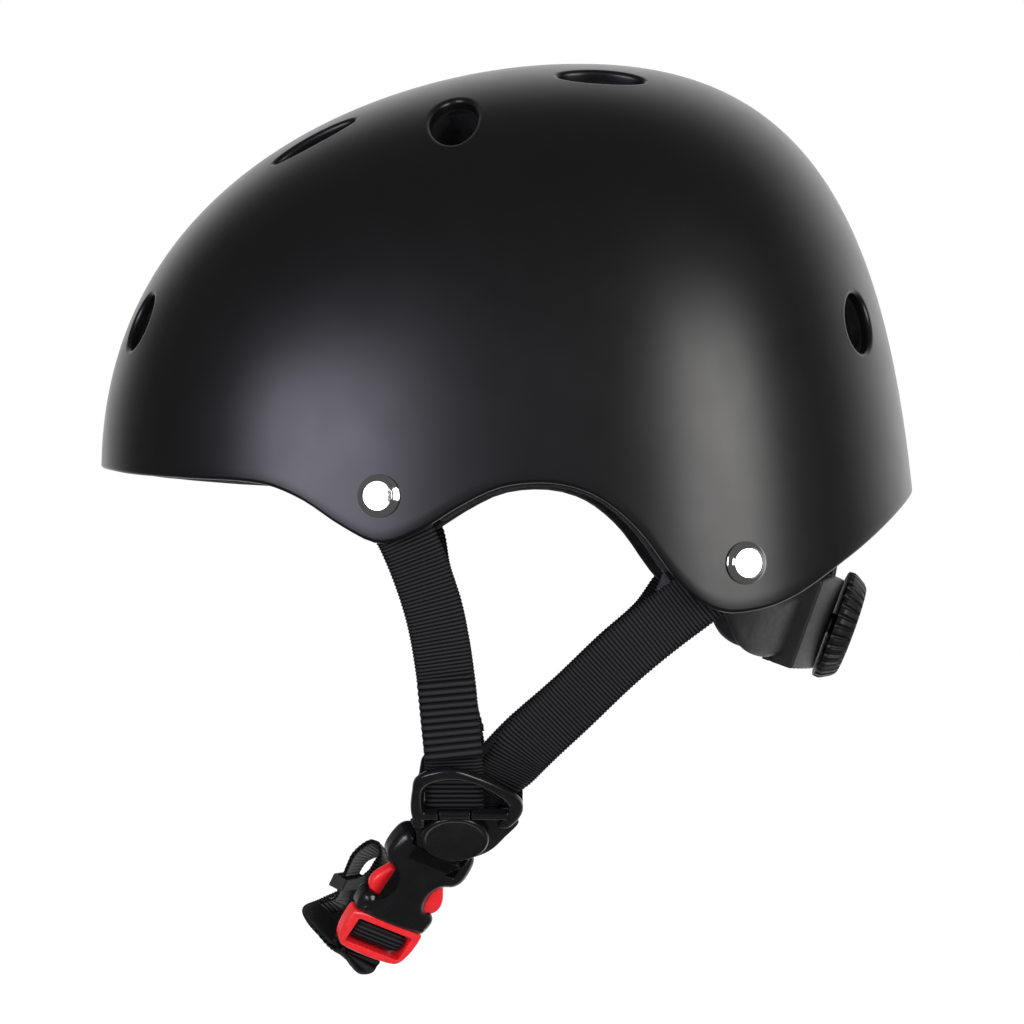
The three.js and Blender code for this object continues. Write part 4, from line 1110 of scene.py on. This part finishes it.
def build_straps():
    far_run = (shifted(FRONT_RUN, RIGHT_FRONT), shifted(REAR_RUN, RIGHT_REAR))
    sides = {"left": (BUCKLE, BAR_WRAP, FRONT_RUN, REAR_RUN), "right": (TAB, SEWN_FOLD, *far_run)}
    fine = COARSE_RIB / 9
    for side, (local, turn, front_run, rear_run) in sides.items():
        strap, uv, _ = side_strap(local, turn, front_run, rear_run)
        lap = [front_run[2], front_run[3], in_divider(0, 37.5, LAYER, 1, 0)]
        sleeve, sleeve_uv, _ = ribbon(lap, LAP_THICK, fine, rib=0.5, pitch=COARSE_RIB, shift=LAP_SHIFT)
        lower = [in_divider(0, v, LAYER, 1, 0) for v in (29.2, 20, 14.2)]
        inset, inset_uv, _ = ribbon(lower, 0.7, fine, rib=0.4, pitch=COARSE_RIB, shift=1.16)
        if side == "right":
            strap, sleeve, inset = mirrored(strap), mirrored(sleeve), mirrored(inset)
        node = f"side_strap_{side}"
        piece(f"strap_webbing_{side}", strap, "webbing", "helmet", [node], uv=uv)
        node = f"strap_overlap_{side}"
        piece(f"strap_sleeve_{side}", sleeve, "sleeve", "helmet", [node], uv=sleeve_uv)
        piece(f"strap_ladder_{side}", inset, "sleeve", "helmet", uv=inset_uv)


build_straps()


# ------------------------------------------------------------------ divider
RING_OUTLINE = [
    (-12.7, 6.6), (-14.1, 14), (-13.6, 24), (-12.5, 30), (-8, 33.6), (0, 35), (8, 31.4),
    (16, 25.6), (21.3, 19.4), (22, 15), (20.3, 9.9), (17.8, 6.6),
]
RING_WINDOW = [
    (-9.8, 6.5), (-9.8, 26), (-6, 29.6), (-0.5, 30.7), (5, 29.6), (12, 24.4), (17.2, 17.8),
    (16.6, 13), (13.6, 6.5),
]
APRON_OUTLINE = [
    (-13, 9), (-12.6, 0), (-11.4, -10.5), (-6.5, -13.4), (3, -13.4), (10.6, -9.5),
    (16, -2), (20.5, 7), (10, 9),
]
FRAME_BACK = -4.4
FRAME_FRONT = 5.4
FLAP_LOW = 2.4
HINGE_V = 12.2
HINGE_H = 3.9


def along_u(geometry, v, h):
    """Turns a body of revolution so that its axis runs along the divider's first axis."""
    points, faces = geometry
    return np.column_stack([points[:, 2], points[:, 0] + v, points[:, 1] + h]), faces


def build_dividers():
    outer = smooth_line(RING_OUTLINE, 90)
    inner = smooth_line(RING_WINDOW, 90)
    middle = (outer + inner) / 2
    reach = (outer - inner) / 2
    angle = np.linspace(0, 2 * math.pi, 32, endpoint=False)
    flat = 2 / 3.2
    wide = np.sign(np.cos(angle)) * np.abs(np.cos(angle)) ** flat
    tall = np.sign(np.sin(angle)) * np.abs(np.sin(angle)) ** flat
    half_height = (FRAME_FRONT - FLAP_LOW) / 2
    rings = [
        np.column_stack([m + np.outer(wide, r), (FLAP_LOW + FRAME_FRONT) / 2 + tall * half_height])
        for m, r in zip(middle, reach)
    ]
    arch = loft(rings)
    front_post = [(-11.6, 1.2), (-9.75, 1.2), (-9.8, 14), (-13.9, 14), (-12.7, 6.6)]
    rear_post = [(10, -0.8), (13, -1), (17.8, 6.6), (20.3, 9.9), (22, 15), (18.2, 14.4), (12, 0.5)]
    adds = []
    for post in (front_post, rear_post):
        adds.append(plate(post, FRAME_BACK, 2.1))
        tall_part = plate(post, FRAME_BACK, FRAME_FRONT - 0.6)
        adds.append(carve(tall_part, cuts=[block(-20, 25, -5, 6.6, -9, 9)]))
    foot = [(-11.6, 1.2), (-9, 0.4), (9.6, -0.6), (13, -1), (17.8, 6.6), (16, 9.5), (-12.5, 9.5)]
    adds.append(plate(foot, FRAME_BACK, -2.4))
    adds.append(block(-10.5, -5.4, 10.9, 13.5, FLAP_LOW, FRAME_FRONT))
    adds.append(block(5.4, 17.2, 10.9, 13.5, FLAP_LOW, FRAME_FRONT))
    adds.append(along_u(turned([(0, -6), (0.65, -6), (0.65, 6), (0, 6)], 16), HINGE_V, HINGE_H))
    ring = placed(carve(arch, adds=adds, voxel=0.28, smooth=8), DIVIDER)
    mirror_pair("divider_ring", ring, "black", "divider_frame")
    levels = [(1.98, 0.3), (2.06, 0.06), (2.14, 0), (2.24, 0), (2.32, 0.06), (2.36, 0.3)]
    apron = placed(pillowed(smooth_loop(APRON_OUTLINE, 6), levels), DIVIDER)
    piece("divider_apron_left", apron, "black", "helmet")
    piece("divider_apron_right", mirrored(apron), "black", "helmet")

    corners = [
        (0, 4.85), (9.3, 4.85), (9.75, 5.25), (10.35, 5.35), (11, 4.7), (11, 2.9), (10.5, 2.4), (0, 2.4),
    ]
    disc = placed(turned(rounded_profile(corners, 0.35, 4), 96), DIVIDER)
    barrel = along_u(turned([(0, -5), (1.45, -5), (1.45, 5), (0, 5)], 24), HINGE_V, HINGE_H)
    bore = along_u(turned([(0, -6), (1, -6), (1, 6), (0, 6)], 24), HINGE_V, HINGE_H)
    neck = carve(block(-5, 5, 8.8, HINGE_V, 2.9, 4.9), adds=[barrel], cuts=[bore], voxel=0.22, smooth=5)
    neck = placed(neck, DIVIDER)
    for side, flip in (("left", False), ("right", True)):
        lock = f"lock_{side}"
        shape = mirrored(disc) if flip else disc
        piece(f"lock_disc_{side}", shape, "black", lock, [f"divider_lock_{side}"])
        shape = mirrored(neck) if flip else neck
        piece(f"lock_barrel_{side}", shape, "black", lock)


build_dividers()


# ------------------------------------------------------------------ buckle
FEMALE_OUTLINE = both_sides([
    (-3, 11), (-1.6, 13.4), (1, 14.5), (8, 14.6), (11, 12.6), (12.6, 9.4), (15.2, 7.6), (19, 7.4),
    (22, 8.8), (23.4, 12.4), (25, 13.6), (29.5, 13.3), (31, 12.5),
])
MALE_OUTLINE = both_sides([(31.3, 12.9), (33, 13.5), (40, 13.1), (43.6, 11.8), (45, 9.8)])
PRONG_OUTLINE = [
    (31, 7), (31, 10.2), (24, 10.2), (22.8, 12.4), (20.6, 13.5), (17.8, 13.2), (15, 11.8),
    (12.4, 9.8), (12.6, 8), (15.4, 7), (21, 7),
]


def build_buckle():
    outline = smooth_loop(FEMALE_OUTLINE, 6)
    levels = [
        (-4.75, 1.9), (-4.5, 0.9), (-3.9, 0.3), (-3.0, 0), (1.2, 0), (2.4, 0.25), (3.4, 0.85), (4.2, 1.8),
        (4.62, 2.7), (4.75, 3.6),
    ]
    cuts = [
        block(1.9, 7, -10, 10, -6, 6), block(-4, 2, -10.4, 10.4, 1.4, 6), block(-4, 2, -10.4, 10.4, -6, -1.4),
        block(-4, -1.9, -10.9, 10.9, -6, 6), block(11, 32, -10.6, 10.6, -2.6, 2.6),
    ]
    for side in (1, -1):
        low, high = sorted((9 * side, 17 * side))
        cuts.append(block(12.6, 22, low, high, -2.6, 2.6))
    shape = placed(carve(pillowed(outline, levels), cuts=cuts, voxel=0.25, smooth=5), BUCKLE)
    piece("buckle_socket", shape, "black", "helmet", ["buckle_female"])

    tongue = plate(both_sides([(12.4, 3), (14, 4.4), (32, 4.6)]), -1.8, 1.8)
    adds = [block(37.1, 38.5, -10.4, 10.4, -2, -0.4), tongue]
    outline = smooth_loop(MALE_OUTLINE, 6)
    levels = [(-3.5, 1.2), (-3.1, 0.5), (-2.2, 0), (2.2, 0), (3.1, 0.5), (3.5, 1.2)]
    cuts = [block(33.4, 42.6, -10.3, 10.3, -5, 5)]
    base = carve(pillowed(outline, levels), cuts=cuts)
    shape = placed(carve(base, adds=adds, voxel=0.25, smooth=6), BUCKLE)
    piece("buckle_plug", shape, "red", "buckle_male", ["buckle_male"])

    levels = [(-2.2, 0.9), (-1.8, 0.35), (-1.1, 0), (1.1, 0), (1.8, 0.35), (2.2, 0.9)]
    for name, side in (("front", -1), ("rear", 1)):
        outline = smooth_loop([(p, q * side) for p, q in PRONG_OUTLINE], 5)
        shape = placed(carve(pillowed(outline, levels), voxel=0.2, smooth=4), BUCKLE)
        body = f"prong_{name}"
        piece(f"{body}_barb", shape, "red", body, [body])


build_buckle()


# ------------------------------------------------------------------ chin strap
LADDER = [
    (46.5, -5.8), (43.6, -5.6), (41.7, -4.4), (41.2, -2.4), (40.9, 0), (39.7, 1.7), (37.8, 2.1),
    (35.9, 1.7), (34.7, 0), (34.5, -2.4), (33.9, -4.8), (32.4, -7),
]


def right_of(v):
    return np.asarray(v) * (-1, 1, 1)


def build_chin_strap():
    on_tab = ((0, 3.1), (7, 3), (14, 2.5), (21, 1.2))
    approach = [(right_of(TAB.at(p, 0, n)), right_of(TAB.eb), WEB_HALF) for p, n in on_tab]
    approach += [
        free(-20.5, -70.5, -257.5, (0.34, 0.74, -0.58)), free(-11.5, -81, -262.8, (0.14, 0.68, -0.72)),
        free(0, -86.3, -265, (0, 0.61, -0.79)), free(9.5, -83.5, -268.2, (-0.2, 0.7, -0.68)),
        (BUCKLE.at(52, 0, -5.2), np.array([-0.38, 0.78, -0.5]), WEB_HALF),
    ]
    ladder = [(BUCKLE.at(p, 0, n), BUCKLE.eb, WEB_HALF) for p, n in LADDER]
    tail = [
        free(13.8, -63.8, -249, (-0.6, 0.68, -0.42)), free(11, -63, -241.5, (-0.8, 0.42, -0.42)),
        free(9, -66.2, -237.4, (-0.92, 0.2, -0.34)), free(7.6, -72.4, -240.4, (-0.94, 0.11, -0.32)),
        free(6.6, -77, -248.5, (-0.94, 0.11, -0.32)), free(6, -79.8, -255.2, (-0.94, 0.11, -0.32)),
        free(5.6, -84.4, -257.4, (-0.94, 0.05, -0.34)),
    ]
    stations = [*approach, *ladder, *tail]
    geometry, uv, rows = ribbon(stations, WEB_THICK, FINE_RIB / 6, rib=0.18, pitch=FINE_RIB)
    strap = piece("chin_webbing", geometry, ["webbing", "binding"], None, uv=uv)
    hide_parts("chin_strap")
    ladder_end = BUCKLE.at(30, 0, -9)
    start = np.argmin(np.linalg.norm(rows[len(rows) // 2:, :3] - ladder_end, axis=1)) + len(rows) // 2
    per_row = 18
    glossy = [min(p.vertices) // per_row > start for p in strap.data.polygons]
    strap.data.polygons.foreach_set("material_index", np.array(glossy, int))
    start, end = Vector((0.004, -0.083, -0.262)), Vector((-0.028, -0.062, -0.248))
    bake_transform(strap)
    return rows


def build_keeper(rows):
    lengths = np.concatenate([[0], np.cumsum(np.linalg.norm(np.diff(rows[:, :3], axis=0), axis=1))])
    low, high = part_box("strap_keeper")
    middle = np.array((low + high) / 2) / MM
    tail = lengths > lengths[-1] - 40
    gap = np.linalg.norm(rows[:, :3] - middle, axis=1) + np.where(tail, 0, 1e3)
    row = rows[int(np.argmin(gap))]
    along = unit(row[3:6])
    across = unit(row[6:9])
    local = Local(middle, along, across, np.cross(along, across))
    outer = block(-2.2, 2.2, -WEB_HALF - 1.5, WEB_HALF + 1.5, -2.6, 2.6)
    inner = block(-4, 4, -WEB_HALF - 0.5, WEB_HALF + 0.5, -1.6, 1.6)
    loop = placed(carve(outer, cuts=[inner], voxel=0.22, smooth=8), local)
    piece("keeper_loop", loop, "rubber", "buckle_male", ["strap_keeper"])


CHIN_ROWS = build_chin_strap()
build_keeper(CHIN_ROWS)


# ------------------------------------------------------------------ dial fit system
KNOB_INNER = 18.5
KNOB_OUTER = 16.2
KNOB_DEPTH = 7.6
KNOB_TEETH = 32


def build_knob():
    sides = KNOB_TEETH * 16
    angle = np.linspace(0, 2 * math.pi, sides, endpoint=False)
    wave = np.cos(angle * KNOB_TEETH)
    groove = np.clip((wave - 0.1) / 0.9, 0, 1) ** 0.8
    profile = rounded_profile([
        (0, 0.3), (KNOB_INNER - 0.2, 0.3), (KNOB_INNER, 2.2), (KNOB_INNER - 0.5, 3.4),
        (KNOB_OUTER + 0.15, 6.2),
        (KNOB_OUTER - 1.2, KNOB_DEPTH - 0.15), (13.2, KNOB_DEPTH), (12.2, KNOB_DEPTH - 0.5),
        (4.4, KNOB_DEPTH - 0.5), (3.4, KNOB_DEPTH - 1.1), (3.2, 6.1), (0, 6.1),
    ], 0.5, 5)
    rings = []
    for radius, height in profile[1:-1]:
        share = np.clip((radius - 13.6) / 2.6, 0, 1)
        fade = np.clip((height - 0.3) / 1.2, 0, 1) * share
        r = radius - 1.05 * groove * fade
        rings.append(np.stack([r * np.cos(angle), r * np.sin(angle), np.full(sides, height)], -1))
    knob = placed(loft(rings, (0, 0, 0.3), (0, 0, 6.1)), DIAL)
    piece("knob_grip", knob, "matt", "dial", ["dial_knob"])


def housing_high(x):
    return 15 - 3.2 * np.maximum(0, np.abs(x) / HOUSING_HALF - 0.6) ** 2 * 6


def housing_low(x):
    return -16 - 2.4 * (x / HOUSING_HALF) ** 2


def curved_slab(x0, x1, inset, outer, inner, low=housing_low, high=housing_high, count=61):
    rings = []
    for x in np.linspace(x0, x1, count):
        a, b, w = low(x) + inset, high(x) - inset, -bend(x)
        rings.append([(a, x, w + outer), (b, x, w + outer), (b, x, w + inner), (a, x, w + inner)])
    points, faces = loft(rings)
    return points, [face[::-1] for face in faces]


def post(s, x, radius, low, high):
    points, faces = turned([(0, low), (radius, low), (radius, high), (0, high)], 24)
    return points + (s, x, 0), faces


def build_housing():
    cuts = [curved_slab(-36, 36, 2, -2.4, -8.5)]
    for side in (1, -1):
        low, high = sorted((31 * side, 41 * side))
        cuts.append(curved_slab(low, high, 0, -3.6, -8.5, lambda x: -16, lambda x: 5.4))
        a, b = sorted((28.5 * side, 36.4 * side))
        cuts.append(curved_slab(a, b, 0, 1, -3.8, lambda x: 0.4, lambda x: 4.9, 9))
    cuts += [post(0, 0, 4.1, -5, 2), block(9, 17, -9.4, 9.4, -6.6, -3.6)]
    cover = carve(curved_slab(-HOUSING_HALF, HOUSING_HALF, 0, -0.4, -8), cuts=cuts)
    adds = [carve(post(-12.4, x, 2.3, -7.9, -2), cuts=[post(-12.4, x, 1.2, -9, -3.6)]) for x in (-12, 12)]
    shape = placed(carve(cover, adds=adds, voxel=0.4, smooth=7), DIAL)
    piece("housing_shell", shape, "matt", "helmet", ["housing_cover"])


ANCHOR_PLACE = locate(np.array([95, 45, -148.5]), FROM_SIDE)
ANCHOR_DEPTH = liner_depth(*ANCHOR_PLACE) + PAD_GAP + 3.6
ANCHOR_OUT = dome_normal(*ANCHOR_PLACE)
ANCHOR_ALONG = square_to(unit(0.5, -0.8, 0.36), ANCHOR_OUT)
ANCHOR = Local(
    dome(*ANCHOR_PLACE, ANCHOR_DEPTH), ANCHOR_ALONG, np.cross(ANCHOR_OUT, ANCHOR_ALONG), ANCHOR_OUT,
)


def build_bands():
    up = ANCHOR.eb * (1 if ANCHOR.eb[2] > 0 else -1)
    stations = [
        (DIAL.at(s, x, -depth - bend(x)), DIAL.ea, half)
        for s, x, depth, half in (
            (8.1, 14.6, 5.9, 1.2), (7, 19, 5.8, 2.2), (0.4, 26, 5.5, 6.8), (-4.4, 32, 5.4, 9.5),
            (-5.4, 40, 5.4, 10))
    ]
    stations += [
        (np.array([53, 60, -164.2]), np.array([0, 0.34, 0.94]), 9.0),
        (np.array([64, 54, -161.2]), np.array([0, 0.32, 0.95]), 8.8),
        (ANCHOR.at(-12, -1, 0), up, 8.0), (ANCHOR.at(-6.5, 0, 0), up, 7.2), (ANCHOR.at(3.5, 0, 0), up, 7.0),
    ]
    band, uv, _ = ribbon(stations, 1.8, 0.6, across_count=13)
    for side, shape in (("left", band), ("right", mirrored(band))):
        obj = piece(f"band_{side}", shape, "nylon", None, uv=uv)
        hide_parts(f"headband_{side}")
        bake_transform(obj)
    socket = block(-7, 4.2, -7.8, 7.8, -1.3, 1.3)
    body = carve(block(-6, 7, -9.5, 9.5, -2.6, 3.1), cuts=[socket], voxel=0.25, smooth=8)
    mirror_pair("anchor_clip", placed(body, ANCHOR), "matt", "band_anchor")

    def rear(z, depth):
        t = on_dome((0, 110, z))[2][1]
        return dome(math.pi, t, liner_depth(math.pi, t) + depth)

    across = np.array([1.0, 0, 0])
    stations = [
        (DIAL.at(9.9, 0, -5.1), across, 9), (DIAL.at(13.5, 0, -5.1), across, 9),
        (np.array([0, 84.6, -140]), across, 7.5), (rear(-121, PAD_GAP + 1.6), across, 7.5),
        (rear(-103, PAD_GAP + 1.6), across, 8.5),
    ]
    tongue, uv, _ = ribbon(stations, 2.4, 0.7, across_count=13)
    piece("hanger_tongue", tongue, "nylon", "helmet", ["cradle_hanger"], uv=uv)


build_knob()
build_housing()
build_bands()


# ------------------------------------------------------------------ carried-over CAD nodes
CARRIED = {
    "washer": "steel", "dial_pinion": "steel", "dial_screw": "steel", "housing_screw": "steel",
    "rack": "nylon", "housing_base": "matt", "hanger_pin": "black",
}


def dress_cad_nodes():
    for name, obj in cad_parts.items():
        if obj.hide_render:
            continue
        look = next(look for start, look in CARRIED.items() if name.startswith(start))
        obj.data.materials.clear()
        obj.data.materials.append(LOOK[look])
        soften = obj.modifiers.new("soften", "BEVEL")
        soften.width = 0.00018
        soften.segments = 2
        soften.limit_method = "ANGLE"
        soften.angle_limit = math.radians(40)


dress_cad_nodes()


# ------------------------------------------------------------------ floor
def build_floor():
    around, rows, reach = 96, 24, 6.0
    angle = np.linspace(0, 2 * math.pi, around, endpoint=False)
    rings = []
    for share in np.linspace(0, 1, rows)[1:]:
        radius = reach * share ** 1.5
        rings.append(np.stack([radius * np.cos(angle), radius * np.sin(angle), np.full(around, FLOOR_Z)], -1))
    points = np.vstack([np.array(rings).reshape(-1, 3), [[0, 0, FLOOR_Z]]])
    faces = strip_faces(len(rings), around)
    tip = len(points) - 1
    faces += [[tip, i, (i + 1) % around] for i in range(around)]
    mesh = bpy.data.meshes.new("floor")
    mesh.from_pydata(points.tolist(), [], faces)
    mesh.materials.append(LOOK["floor"])
    obj = bpy.data.objects.new("floor", mesh)
    bpy.context.scene.collection.objects.link(obj)
    obj.visible_glossy = False


build_floor()
